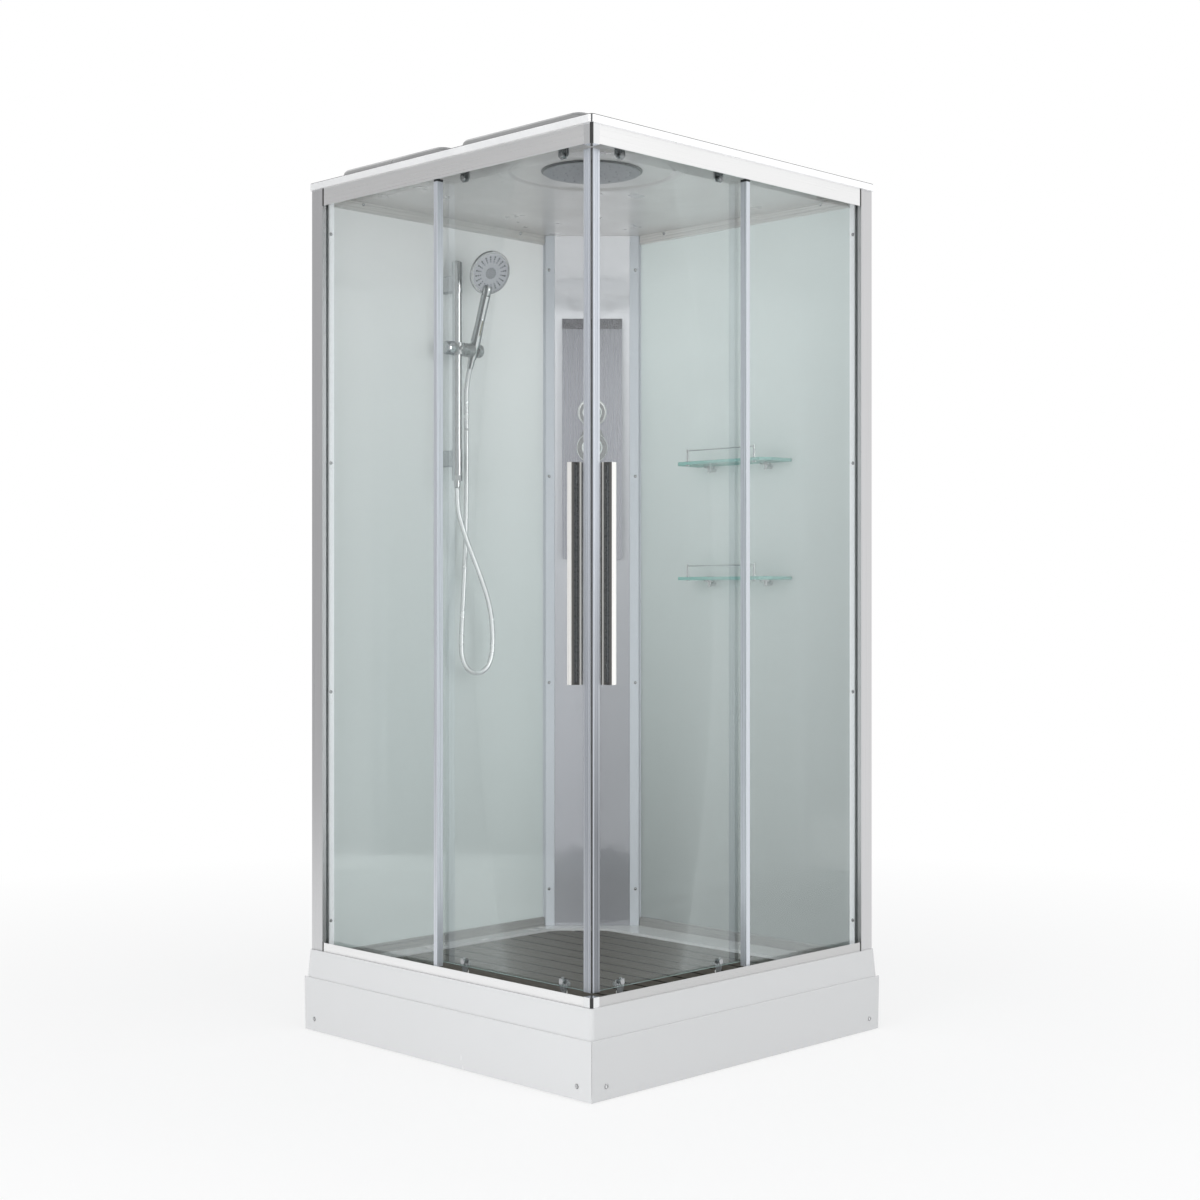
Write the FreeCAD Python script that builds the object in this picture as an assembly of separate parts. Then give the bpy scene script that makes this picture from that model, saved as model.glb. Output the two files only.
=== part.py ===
import FreeCAD, Part
import math
import os

# Corner entry shower enclosure, millimetres, +Z up, standing on its levelling feet at z = 0.
# The two glazed sides meet at the corner +X, -Y. The left glazed side lies in the plane
# y = -frame_half and its door slides towards -X. The right glazed side is its mirror image
# in the upright plane through the corners (+X, -Y) and (-X, +Y), and so are the walls.
#
# Places on a glazed side are given as u, along the side from the front corner, and w, inwards
# from the frame's outer plane. Places on a back wall are given as v, along the wall from its
# glazed side, and t, inwards from the frame's outer plane.

# Overall sizes
tray_side = 1000.0
frame_inset = 13.0
roof_overhang = 6.5
overall_height = 2100.0

# Clearances
seat_gap = 0.3
shaft_gap = 0.06
overrun = 5.0

# Heights of the tray
apron_bottom = 2.0
band_bottom = 126.0
rim_top = 198.0
ledge_top = 165.0
well_floor = 122.0

# Tray
tray_wall = 5.0
band_foot_inset = 3.0
band_top_inset = 8.0
tray_corner_radius = 9.0
rim_reach = 40.0
back_rim_reach = 6.0
well_front = 44.0
well_side_margin = 71.0
well_back_margin = 117.0
column_ledge = 45.0
well_corner_radius = 34.0
well_chamfer_radius = 60.0
waste_share = 0.66
waste_hole_radius = 45.0

# Apron panels
apron_thickness = 4.0
apron_draft = 3.0
apron_lip_height = 6.0
apron_lip_gap = 0.4
apron_shoulder_drop = 1.0
apron_return = 15.0
apron_return_thickness = 3.0
mitre_gap = 0.25
apron_screw_height = 31.0
apron_screw_near = 46.0
apron_screw_far = 37.0
apron_screw_radius = 2.5
apron_cap_radius = 5.6
apron_cap_height = 3.0
apron_screw_length = 11.0

# Tray frame and feet
frame_bar = 30.0
frame_bar_wall = 2.5
frame_bar_margin = 48.0
foot_plate_side = 56.0
foot_plate_thickness = 4.0
foot_stud_radius = 6.0
foot_hole_gap = 0.4
foot_pad_radius = 23.0
foot_pad_height = 8.0
foot_cone_height = 9.0
foot_nut_width = 19.0
foot_nut_height = 8.0
foot_stud_top_drop = 6.0
apron_tab_width = 30.0
apron_tab_thickness = 3.0
apron_tab_bottom = 14.0
apron_tab_gap = 0.3

# Waste
trap_radius = 43.0
trap_wall = 2.5
trap_bottom = 30.0
trap_flange_radius = 54.0
trap_flange_thickness = 4.0
spigot_radius = 20.0
spigot_wall = 2.0
spigot_end = 102.5
spigot_collar_radius = 24.0
spigot_collar_end = 49.0
spigot_height = 52.0
cover_radius = 56.0
cover_thickness = 3.0
cover_skirt_radius = 38.0
cover_skirt_depth = 9.0
cover_slots = 8
cover_slot_width = 5.0
cover_slot_inner = 14.0
cover_slot_outer = 33.0

# Deck
deck_top = 160.0
deck_gap = 6.0
slat_count = 12
slat_thickness = 14.0
slat_gap = 5.0
slat_edge = 1.5
batten_width = 40.0
batten_inset = 60.0
batten_u_shares = (0.1, 0.5, 0.9)

# Upright posts
post_width = 42.0
post_depth = 20.5
post_wall = 2.0
post_slot_depth = 12.0
glass_slot = 7.0

# Rails
bottom_rail_top = 219.0
rail_joint_gap = 0.8
rail_depth = 38.0
rail_wall = 2.5
rail_web = 2.0
top_rail_height = 42.0
fixed_channel_reach = 19.5
bottom_mid_wall_height = 14.0
bottom_ridge_height = 5.5
bottom_ridge_width = 2.6
bottom_ridge_start = 36.0
wheel_headroom = 3.2
top_ledge_thickness = 2.0
top_ledge_reach = 27.0
top_inner_lip_drop = 12.0
corner_leg = 23.0
corner_proud = 1.0
corner_round = 5.0

# Fixed glass and its free edge strip
glass_plane = 11.5
glass_thickness = 6.0
strip_past_middle = 20.5
strip_width = 12.3
strip_wall = 2.0
strip_front = 6.0
strip_back = 24.5
strip_round = 0.8
strip_fin = 2.8
strip_fin_thickness = 1.2
strip_fin_inset = 5.0
strip_fin_margin = 3.0

# Doors
door_glass_plane = 28.0
door_glass_thickness = 5.0
door_glass_start = 41.0
door_glass_lap = 12.5
door_glass_lift = 5.0
door_glass_rise = 2.0
door_profile_front = 24.0
door_profile_back = 36.0
door_profile_end = 50.0
door_profile_gap = 4.0
seal_half_gap = 0.25
seal_line = 6.0
profile_round = 2.5

# Rollers
roller_near = 120.0
roller_far = 78.0
top_wheel_radius = 10.0
top_wheel_front = 23.4
top_wheel_width = 4.0
top_axle_radius = 2.5
wheel_run_gap = 0.3
bottom_wheel_radius = 7.0
bottom_wheel_front = 35.6
bottom_wheel_width = 3.6
bottom_axle_radius = 2.0
wheel_groove = 0.8
bracket_plate_width = 30.0
bracket_plate_thickness = 3.0
bracket_plate_under = 8.0
bracket_plate_over = 7.7
bracket_screw_inset = 22.0
bracket_cap_radius = 6.0
bracket_cap_thickness = 2.4
bracket_shank_radius = 3.0
glass_hole_radius = 4.0
axle_head_radius = 4.0
axle_head_thickness = 1.2
carrier_plate_thickness = 2.0
carrier_plate_width = 26.0
carrier_plate_over = 5.0
carrier_plate_under = 2.8
carrier_barrel_radius = 4.6
carrier_barrel_rise = 18.7
carrier_barrel_reach = 39.0
carrier_screw_inset = 10.0
button_radius = 2.4
button_cap_radius = 3.6
button_cap_height = 2.6
button_travel = 3.5
button_inset = 5.0
button_rest_gap = 0.6
button_stem_depth = 3.6

# Handles
handle_start = 56.0
handle_grip_start = 62.0
handle_end = 80.0
handle_front = 5.0
handle_bevel = 4.0
handle_flange = 3.0
handle_bottom = 876.0
handle_length = 475.0
handle_cap = 6.0
insert_thickness = 1.2
insert_groove = 1.6
handle_screw_inset = 41.0
handle_screw_radius = 3.0
handle_bolt_radius = 3.0
inner_plate_thickness = 4.0
inner_plate_width = 16.0

# Back walls
wall_glass_plane = 12.0
wall_glass_thickness = 5.0
wall_glass_slack = 0.2
wall_profile_back = 8.0
wall_profile_face = 25.0
stile_end = 50.0
groove_depth = 8.0
base_height = 24.0
header_height = 24.0
header_round = 3.0

# Corner column
column_setback = 162.7
column_edge_depth = 24.6
column_thickness = 4.0
column_bottom_gap = 0.3
trim_width = 25.0
trim_thickness = 3.5
trim_lap = 3.5
trim_post_width = 21.0
trim_round = 1.5
column_screw_inset = 10.0
control_panel_half_width = 82.0
control_panel_drop = 227.0
control_panel_length = 658.0
control_panel_height_proud = 12.0
control_panel_bevel = 30.0
control_panel_radius = 9.0
control_panel_shell = 1.5

# Cover screws of the uprights and headers
screw_rows = 4
screw_first_rise = 68.0
screw_last_drop = 93.7
cover_screw_radius = 4.2
cover_screw_height = 2.6
stile_screw_inset = 11.5
header_screw_near = 140.0
header_screw_far = 90.0
header_screw_drop = 6.0

# Mixer and its two controls
diverter_drop = 259.0
control_pitch = 96.0
control_stem_radius = 7.0
control_hole_radius = 11.0
diverter_radius = 39.0
diverter_depth = 20.0
mixer_control_radius = 42.0
mixer_control_depth = 15.0
mixer_cap_radius = 29.0
mixer_cap_depth = 30.0
control_base_radius = 28.0
control_base_depth = 5.0
control_rim = 2.5
control_dish_depth = 3.0
control_dish_radius = 26.0
control_blind = 8.0
lever_low_half_width = 37.0
lever_top_half_width = 24.0
lever_low_height = 19.0
lever_top_height = 49.0
valve_radius = 22.0
valve_distance = 40.0
valve_below = 52.0
valve_above = 42.0
inlet_spacing = 76.0
inlet_radius = 10.45
inlet_length = 15.0
inlet_bore = 7.5
inlet_collar_radius = 12.8
inlet_collar_length = 3.0
manifold_radius = 14.0
outlet_radius = 8.0
outlet_length = 22.0

# Roof
lip_height = 18.0
roof_sheet = 4.0
roof_corner_radius = 12.0
pad_height = 20.0
pad_slope = 14.0
pad_first = 60.0
pad_far_margin = 92.0
pad_channel = 54.0
pad_radius = 26.0
roof_edge_round = 3.0
ceiling_drop = 10.0
ceiling_sheet = 4.0
ceiling_edge = 39.0
ceiling_wall_reach = 4.0
shower_place = 298.0
shower_radius = 113.0
shower_ring_radius = 118.0
shower_thickness = 6.0
shower_bevel = 2.5
ring_inner = 187.0
ring_outer = 221.0
ring_height = 4.0
shower_spigot_radius = 10.0
shower_spigot_length = 16.0
shower_nut_width = 27.0
shower_nut_height = 6.0
nozzle_ring_pitch = 30.0
nozzle_counts = (8, 14, 20)
nozzle_radius = 2.2
nozzle_height = 1.4

# Hand shower
rail_v = 406.0
rail_t = 75.0
rail_radius = 12.0
rail_bore = 10.5
rail_drop = 122.0
rail_length = 552.0
rail_cap_round = 2.0
bracket_low_rise = 44.0
bracket_high_drop = 57.0
bracket_half_height = 21.0
bracket_half_width = 11.0
bracket_round = 3.0
collar_wall = 1.4
collar_low_length = 68.0
collar_high_length = 80.0
collar_cap = 3.0
outlet_nut_width = 24.0
outlet_nut_height = 14.0
outlet_plug_radius = 10.4
outlet_plug_length = 9.0
outlet_cone_radius = 8.6
outlet_cone_height = 17.7
slider_rise = 327.0
slider_radius = 18.0
slider_sleeve_radius = 19.5
slider_sleeve_half = 15.0
slider_left_reach = 20.5
slider_right_reach = 24.0
slider_dome_radius = 7.0
slider_dome_height = 5.0
knob_reach = 43.0
knob_dome = 9.0
knob_stem_radius = 4.0
knob_stem_length = 5.5
cradle_stem_radius = 5.0
cradle_stem_length = 6.0
cradle_reach = 57.0
cradle_half = 17.0
cradle_slot = 14.0
cradle_end_reach = 80.0
cradle_round = 4.0
handset_lean = 18.8
handset_spin = -9.0
face_tilt = 24.0
socket_radius_low = 11.4
socket_radius_high = 13.2
cone_gap = 0.12
handset_low = 22.0
handle_radius_mid = 11.5
handle_radius_neck = 12.5
handle_mid_reach = 80.0
handle_neck_reach = 158.0
handset_reach = 205.0
head_radius = 58.0
head_depth = 12.0
head_back_radius = 30.0
head_back_depth = 22.0
head_waist_share = 0.86
face_radius = 51.0
face_thickness = 3.0
face_gap = 0.15
selector_depth = 6.0
selector_lug_angle = 195.0
selector_half_angle = 22.0
hose_nut_radius = 9.0
hose_nut_tail_radius = 7.6
hose_nut_length = 25.0

# Hose, and its route as t, v and z from the outlet to the hand shower
hose_diameter = 13.0
hose_route = (
    (75.0, 406.0, 1346.0),
    (75.0, 406.0, 1302.0),
    (78.0, 415.0, 1258.0),
    (84.0, 436.0, 1200.0),
    (87.0, 476.0, 1118.0),
    (85.0, 508.0, 1050.0),
    (82.0, 522.0, 990.0),
    (79.5, 526.0, 940.0),
    (78.0, 521.5, 901.0),
    (76.5, 504.0, 873.0),
    (75.0, 473.0, 863.0),
    (73.5, 442.5, 874.0),
    (71.5, 425.0, 905.0),
    (69.0, 425.5, 948.0),
    (66.0, 431.0, 1005.0),
    (59.0, 443.0, 1095.0),
    (52.0, 455.0, 1204.0),
    (47.0, 462.0, 1330.0),
    (44.0, 465.5, 1450.0),
    (43.5, 465.0, 1560.0),
)
hose_end_run = 45.0
hose_arc_share = 0.45

# Glass shelves
shelf_low_height = 1108.0
shelf_pitch = 300.0
shelf_thickness = 8.0
shelf_start = 238.0
shelf_end = 556.0
shelf_reach = 122.0
shelf_wall_gap = 1.0
shelf_chamfer = 22.0
support_near_inset = 68.0
support_far_inset = 58.0
support_t = 40.0
support_disc_radius = 13.5
support_disc_height = 5.0
support_arm_radius = 6.0
support_arm_drop = 9.0
support_screw_radius = 4.0
support_cap_radius = 9.0
support_cap_height = 2.5
gallery_near_inset = 45.0
gallery_far_inset = 47.0
gallery_t = 112.0
gallery_post_radius = 3.0
gallery_post_height = 33.0
gallery_wire_radius = 1.6
gallery_wire_height = 29.0
gallery_foot_radius = 5.5
gallery_foot_height = 2.5

# Values that follow from the sizes above
tray_half = tray_side / 2
frame_side = tray_side - 2 * frame_inset
frame_half = frame_side / 2
roof_half = frame_half + roof_overhang
lip_top = overall_height - pad_height
lip_bottom = lip_top - lip_height
top_rail_top = lip_bottom
top_rail_bottom = top_rail_top - top_rail_height
frame_top = well_floor - tray_wall
well_side_reach = frame_side - well_side_margin
well_back_reach = frame_side - well_back_margin
waste_place = frame_side * waste_share
frame_bar_centre = tray_half - frame_bar_margin
post_start = frame_side - post_width
corner_block_top = bottom_rail_top + corner_proud
top_ledge_height = top_rail_top - rail_wall - wheel_headroom - 2 * top_wheel_radius - wheel_run_gap
top_axle_height = top_ledge_height + wheel_run_gap + top_wheel_radius
bottom_axle_height = rim_top + bottom_ridge_height + wheel_run_gap + bottom_wheel_radius
strip_start = frame_half + strip_past_middle
fixed_glass_start = strip_start + strip_wall
door_glass_end = strip_start + door_glass_lap
door_glass_bottom = bottom_rail_top + door_glass_lift
door_glass_top = top_ledge_height + door_glass_rise
door_profile_bottom = bottom_rail_top + door_profile_gap
door_profile_top = top_rail_bottom - door_profile_gap
roller_places = (roller_near, door_glass_end - roller_far)
bracket_screw_height = door_glass_top - bracket_screw_inset
bracket_plate_bottom = bracket_screw_height - bracket_plate_under
bracket_plate_top = top_axle_height + bracket_plate_over
carrier_screw_height = door_glass_bottom + carrier_screw_inset
carrier_plate_top = carrier_screw_height + carrier_plate_over
carrier_plate_bottom = bottom_axle_height - carrier_plate_under
carrier_barrel_height = bottom_axle_height + carrier_barrel_rise
handle_top = handle_bottom + handle_length
ceiling_bottom = top_rail_top - ceiling_drop
stile_top = ceiling_bottom - seat_gap
stile_start = post_depth + seat_gap
column_face_distance = frame_half * math.sqrt(2) - column_setback
column_half_width = (frame_half - column_edge_depth) * math.sqrt(2) - column_face_distance
column_screw_offset = column_half_width - column_screw_inset
column_sum = column_face_distance * math.sqrt(2) + frame_side
well_sum = column_sum - column_ledge * math.sqrt(2)
wall_end = column_face_distance * math.sqrt(2) + column_edge_depth - trim_lap
trim_post_end = wall_end + trim_post_width
control_panel_top = ceiling_bottom - control_panel_drop
control_panel_bottom = control_panel_top - control_panel_length
diverter_height = control_panel_top - diverter_drop
mixer_height = diverter_height - control_pitch
rail_top = ceiling_bottom - rail_drop
rail_bottom = rail_top - rail_length
bracket_heights = (rail_bottom + bracket_low_rise, rail_top - bracket_high_drop)
collar_low_top = rail_bottom + collar_low_length
collar_high_bottom = rail_top - collar_high_length
slider_height = rail_bottom + slider_rise
slider_left = rail_v - slider_left_reach
slider_right = rail_v + slider_right_reach
knob_left = rail_v - knob_reach
cradle_v = rail_v + cradle_reach
cradle_right = rail_v + cradle_end_reach
shelf_heights = (shelf_low_height, shelf_low_height + shelf_pitch)
support_places = (shelf_start + support_near_inset, shelf_end - support_far_inset)
gallery_places = (shelf_start + gallery_near_inset, shelf_end - gallery_far_inset)

V = FreeCAD.Vector
UP = V(0, 0, 1)
OUT = V(1, -1, 0).normalize()
ALONG = V(1, 1, 0).normalize()


def side_point(u, w, z=0):
    """A point of the left glazed side."""
    return V(frame_half - u, w - frame_half, z)


def wall_point(v, t, z=0):
    """A point of the left back wall."""
    return V(t - frame_half, v - frame_half, z)


def twin(shape):
    """The same piece on the right side."""
    return shape.mirror(V(0, 0, 0), V(1, 1, 0))


def box(low, high):
    size = high - low
    return Part.makeBox(size.x, size.y, size.z, low)


def side_box(u0, u1, w0, w1, z0, z1):
    return box(side_point(u1, w0, z0), side_point(u0, w1, z1))


def wall_box(v0, v1, t0, t1, z0, z1):
    return box(wall_point(v0, t0, z0), wall_point(v1, t1, z1))


def polygon_face(points):
    return Part.Face(Part.makePolygon(list(points) + [points[0]]))


def prism(points, z0, z1):
    """Upright prism on a plan outline."""
    flat = [V(p.x, p.y, z0) for p in points]
    return polygon_face(flat).extrude(V(0, 0, z1 - z0))


def side_bar(outline, u0, u1):
    """A bar along the left glazed side with its section given as w, z points."""
    face = polygon_face([side_point(u0, w, z) for w, z in outline])
    return face.extrude(side_point(u1, 0) - side_point(u0, 0))


def cylinder(start, direction, radius, length):
    return Part.makeCylinder(radius, length, start, direction)


def fuse(shapes):
    first, rest = shapes[0], list(shapes[1:])
    if not rest:
        return first
    return first.fuse(rest).removeSplitter()


def cut(shape, tools):
    return shape.cut(list(tools)) if tools else shape


def revolve(points, origin, axis):
    """Turn an outline of (radius, height) points about an axis through origin."""
    across = axis.cross(V(0, 0, 1))
    if across.Length < math.sin(math.radians(1)):
        across = V(1, 0, 0)
    across.normalize()
    places = [origin + across * r + axis * h for r, h in points]
    return polygon_face(places).revolve(origin, axis, 360)


def hexagon(centre, width, height):
    """Upright hexagonal nut blank standing on centre."""
    radius = width / math.sqrt(3)
    angles = [math.radians(60 * k) for k in range(6)]
    points = [centre + V(radius * math.cos(a), radius * math.sin(a), 0) for a in angles]
    return polygon_face(points).extrude(V(0, 0, height))


def rounded_wire(corners, radii, z=0):
    """Closed plan outline whose corners are rounded to the given radii."""
    count = len(corners)
    edges = []
    joins = []
    for k in range(count):
        here = corners[k]
        back = (corners[k - 1] - here).normalize()
        on = (corners[(k + 1) % count] - here).normalize()
        half = back.getAngle(on) / 2
        reach = radii[k] / math.tan(half)
        middle = (back + on).normalize() * (radii[k] / math.sin(half) - radii[k])
        joins.append((here + back * reach, here + middle, here + on * reach))
    lift = V(0, 0, z)
    for k in range(count):
        start, top, end = (p + lift for p in joins[k])
        edges.append(Part.Arc(start, top, end).toShape())
        edges.append(Part.LineSegment(end, joins[(k + 1) % count][0] + lift).toShape())
    return Part.Wire(edges)


def rounded_prism(corners, radii, z0, z1):
    return Part.Face(rounded_wire(corners, radii, z0)).extrude(V(0, 0, z1 - z0))


def square(half):
    return [V(half, -half, 0), V(half, half, 0), V(-half, half, 0), V(-half, -half, 0)]


def left_half_plan():
    """Prism that holds everything on the left of the mirror plane, less the mitre gap."""
    reach = tray_side
    gap = mitre_gap * math.sqrt(2)
    points = [V(reach - gap, -reach, 0), V(-reach, -reach, 0), V(-reach, reach - gap, 0)]
    return prism(points, -overrun, overall_height + overrun)


def well_corners(offset):
    """Plan outline of the tray's well, drawn in by an offset."""
    front = well_front + offset
    side = well_side_reach - offset
    back = well_back_reach - offset
    total = well_sum - offset * math.sqrt(2)
    return [
        side_point(front, front),
        side_point(side, front),
        side_point(side, total - side),
        side_point(total - back, back),
        side_point(front, back),
    ]


def well_radii(offset):
    small = well_corner_radius - offset
    large = well_chamfer_radius - offset
    return [small, small, large, large, small]


# Tray


def tray_band():
    foot = tray_half - band_foot_inset
    top = tray_half - band_top_inset
    radii = [tray_corner_radius] * 4
    lower = rounded_wire(square(foot), radii, band_bottom)
    upper = rounded_wire(square(top), radii, rim_top)
    return Part.makeLoft([lower, upper], True, True)


def make_tray():
    band = tray_band()
    inner = tray_half - band_top_inset - tray_wall
    reach = frame_half - rim_reach
    back = frame_half - back_rim_reach
    hollow_top = ledge_top - tray_wall
    hollow = box(V(-inner, -inner, band_bottom - overrun), V(inner, inner, hollow_top))
    recess = box(V(-back, -reach, ledge_top), V(reach, back, rim_top + overrun))
    strip_top = rim_top - tray_wall
    strip_edge = reach + tray_wall
    strip_right = box(V(strip_edge, -inner, hollow_top - overrun), V(inner, back, strip_top))
    strip_left = box(V(-back, -inner, hollow_top - overrun), V(inner, -strip_edge, strip_top))
    shell = band.cut([hollow, recess, strip_right, strip_left])
    outer_well = rounded_prism(well_corners(-tray_wall), well_radii(-tray_wall), frame_top, ledge_top)
    inner_well = rounded_prism(well_corners(0), well_radii(0), well_floor, rim_top)
    tray = shell.fuse(outer_well).cut(inner_well).removeSplitter()
    waste = cylinder(side_point(waste_place, waste_place, frame_top - overrun), UP, waste_hole_radius,
                     tray_wall + 2 * overrun)
    return tray.cut(waste)


def apron_lip():
    """Back plane, top and rounding of an apron's upper edge."""
    back = tray_half - band_foot_inset + apron_lip_gap
    return back, band_bottom + apron_lip_height, tray_half - back


def apron_outline():
    """Section of an apron as distance from the middle of the tray and height."""
    face = tray_half
    foot = face - apron_draft
    back, top, radius = apron_lip()
    shoulder = band_bottom - apron_shoulder_drop
    knee = top - radius
    slant = radius * math.sqrt(0.5)
    curve = Part.Arc(V(0, -face, knee), V(0, -back - slant, knee + slant), V(0, -back, top))
    points = [
        V(0, -back, top),
        V(0, -back, shoulder),
        V(0, -(face - apron_thickness), shoulder),
        V(0, -(foot - apron_thickness), apron_bottom + apron_return_thickness),
        V(0, -(foot - apron_return), apron_bottom + apron_return_thickness),
        V(0, -(foot - apron_return), apron_bottom),
        V(0, -foot, apron_bottom),
        V(0, -face, knee),
    ]
    edges = [curve.toShape()]
    for here, there in zip(points, points[1:]):
        edges.append(Part.LineSegment(here, there).toShape())
    return Part.Face(Part.Wire(edges))


def apron_screw_places():
    return (tray_half - apron_screw_near, -tray_half + apron_screw_far)


def apron_screw_frame():
    """Outward direction of the apron's face, and its distance from the middle at the screws."""
    back, top, radius = apron_lip()
    rise = top - radius - apron_bottom
    lean = math.atan(apron_draft / rise)
    outward = V(0, -math.cos(lean), -math.sin(lean))
    share = (apron_screw_height - apron_bottom) / rise
    return outward, tray_half - apron_draft * (1 - share)


def make_aprons():
    panel = apron_outline()
    panel.translate(V(-tray_half, 0, 0))
    panel = panel.extrude(V(tray_side, 0, 0)).common(left_half_plan())
    outward, face = apron_screw_frame()
    holes = []
    for x in apron_screw_places():
        start = V(x, -face, apron_screw_height) + outward * overrun
        length = apron_thickness + 2 * overrun
        holes.append(cylinder(start, -outward, apron_screw_radius + seat_gap, length))
    left = panel.cut(holes)
    return Part.makeCompound([left, twin(left)])


def make_apron_screw_caps():
    outward, face = apron_screw_frame()
    pieces = []
    for x in apron_screw_places():
        seat = V(x, -face, apron_screw_height)
        dome = [
            (0, -apron_screw_length),
            (apron_screw_radius, -apron_screw_length),
            (apron_screw_radius, 0),
            (apron_cap_radius, 0),
            (apron_cap_radius, apron_cap_height / 3),
            (apron_cap_radius * 0.7, apron_cap_height * 0.85),
            (0, apron_cap_height),
        ]
        piece = revolve(dome, seat, outward)
        pieces += [piece, twin(piece)]
    return Part.makeCompound(pieces)


def foot_places():
    c = frame_bar_centre
    return [V(c, c, 0), V(c, -c, 0), V(-c, c, 0), V(-c, -c, 0), V(0, 0, 0)]


def make_tray_frame():
    half = frame_bar / 2
    c = frame_bar_centre
    low, high = frame_top - frame_bar, frame_top
    inner = half - frame_bar_wall
    bars, troughs = [], []
    for place in (-c, 0, c):
        bars.append(box(V(place - half, -c - half, low), V(place + half, c + half, high)))
        bars.append(box(V(-c - half, place - half, low), V(c + half, place + half, high)))
        end = c + inner
        top = high - frame_bar_wall
        troughs.append(box(V(place - inner, -end, low - overrun), V(place + inner, end, top)))
        troughs.append(box(V(-end, place - inner, low - overrun), V(end, place + inner, top)))
    frame = fuse(bars).cut(troughs)
    plate = foot_plate_side / 2
    plates = []
    holes = []
    for place in foot_places():
        corner = V(plate, plate, 0)
        base = low - foot_plate_thickness
        plates.append(box(place - corner + UP * base, place + corner + UP * low))
        holes.append(cylinder(place + UP * (base - overrun), UP, foot_stud_radius + foot_hole_gap,
                              foot_plate_thickness + 2 * overrun))
    tabs = []
    tab_face = tray_half - apron_draft - apron_thickness - apron_tab_gap
    for x in apron_screw_places():
        x0, x1 = x - apron_tab_width / 2, x + apron_tab_width / 2
        arm_low = low + frame_bar_wall
        arm = box(V(x0, -tab_face, arm_low), V(x1, -c - inner, arm_low + apron_tab_thickness))
        leg = box(V(x0, -tab_face, apron_tab_bottom), V(x1, apron_tab_thickness - tab_face, arm_low))
        hole = cylinder(V(x, -tab_face - overrun, apron_screw_height), V(0, 1, 0),
                        apron_screw_radius + foot_hole_gap, apron_tab_thickness + 2 * overrun)
        tab = arm.fuse(leg).cut(hole)
        tabs += [tab, twin(tab)]
    return fuse([frame] + plates + tabs).cut(holes)


def make_levelling_feet():
    low = frame_top - frame_bar - foot_plate_thickness
    feet = []
    for place in foot_places():
        outline = [
            (0, 0),
            (foot_pad_radius, 0),
            (foot_pad_radius, foot_pad_height),
            (foot_stud_radius * 1.6, foot_pad_height + foot_cone_height),
            (foot_stud_radius, foot_pad_height + foot_cone_height),
            (foot_stud_radius, frame_top - foot_stud_top_drop),
            (0, frame_top - foot_stud_top_drop),
        ]
        foot = revolve(outline, place, UP)
        under = hexagon(place + UP * (low - foot_nut_height), foot_nut_width, foot_nut_height)
        over_height = low + foot_plate_thickness
        over = hexagon(place + UP * over_height, foot_nut_width, foot_nut_height)
        feet.append(fuse([foot, under, over]))
    return Part.makeCompound(feet)


def make_waste_trap():
    top = frame_top
    origin = side_point(waste_place, waste_place)
    inner = trap_radius - trap_wall
    outline = [
        (0, trap_bottom),
        (trap_radius, trap_bottom),
        (trap_radius, top - trap_flange_thickness),
        (trap_flange_radius, top - trap_flange_thickness),
        (trap_flange_radius, top),
        (inner, top),
        (inner, trap_bottom + trap_wall),
        (0, trap_bottom + trap_wall),
    ]
    cup = revolve(outline, origin, UP)
    towards = V(0, 1, 0)
    middle = origin + UP * spigot_height
    start = middle + towards * inner
    pipe = cylinder(start, towards, spigot_radius, spigot_end - inner)
    collar = cylinder(start, towards, spigot_collar_radius, spigot_collar_end - inner)
    keep_out = cylinder(origin + UP * trap_bottom, UP, inner, top - trap_bottom)
    bore = cylinder(middle, towards, spigot_radius - spigot_wall, spigot_end + overrun)
    return cup.fuse(fuse([pipe, collar]).cut(keep_out)).cut(bore)


def make_waste_cover():
    origin = side_point(waste_place, waste_place)
    base = well_floor
    outline = [
        (0, base + cover_thickness * 1.5),
        (cover_skirt_radius, base + cover_thickness * 1.4),
        (cover_radius, base + cover_thickness / 3),
        (cover_radius, base),
        (cover_skirt_radius, base),
        (cover_skirt_radius, base - cover_skirt_depth),
        (cover_skirt_radius - trap_wall, base - cover_skirt_depth),
        (cover_skirt_radius - trap_wall, base),
        (0, base),
    ]
    cover = revolve(outline, origin, UP)
    slots = []
    for k in range(cover_slots):
        slot = box(
            V(cover_slot_inner, -cover_slot_width / 2, base - overrun),
            V(cover_slot_outer, cover_slot_width / 2, base + overrun + cover_thickness),
        )
        slot.rotate(V(0, 0, 0), UP, 360 * k / cover_slots)
        slot.translate(origin)
        slots.append(slot)
    return cover.cut(slots)


# Deck


def deck_extent():
    front = well_front + deck_gap
    return front, well_side_reach - deck_gap, well_back_reach - deck_gap


def make_deck_slats():
    front, side, back = deck_extent()
    low = deck_top - slat_thickness
    outline = rounded_prism(well_corners(deck_gap), well_radii(deck_gap), low - overrun,
                            deck_top + overrun)
    pitch = (back - front + slat_gap) / slat_count
    slats = []
    for k in range(slat_count):
        w0 = front + k * pitch
        w1 = w0 + pitch - slat_gap
        section = [
            (w0, low),
            (w1, low),
            (w1, deck_top - slat_edge),
            (w1 - slat_edge, deck_top),
            (w0 + slat_edge, deck_top),
            (w0, deck_top - slat_edge),
        ]
        slats.append(side_bar(section, front, side).common(outline).Solids[0])
    return Part.makeCompound(slats)


def make_deck_battens():
    front, side, back = deck_extent()
    top = deck_top - slat_thickness
    battens = []
    for share in batten_u_shares:
        middle = front + share * (side - front)
        end = back - batten_inset
        if middle + end > well_sum - batten_inset:
            end = well_sum - batten_inset - middle
        u0, u1 = middle - batten_width / 2, middle + batten_width / 2
        battens.append(side_box(u0, u1, front + batten_inset, end, well_floor, top))
    return Part.makeCompound(battens)


# Frame


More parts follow.
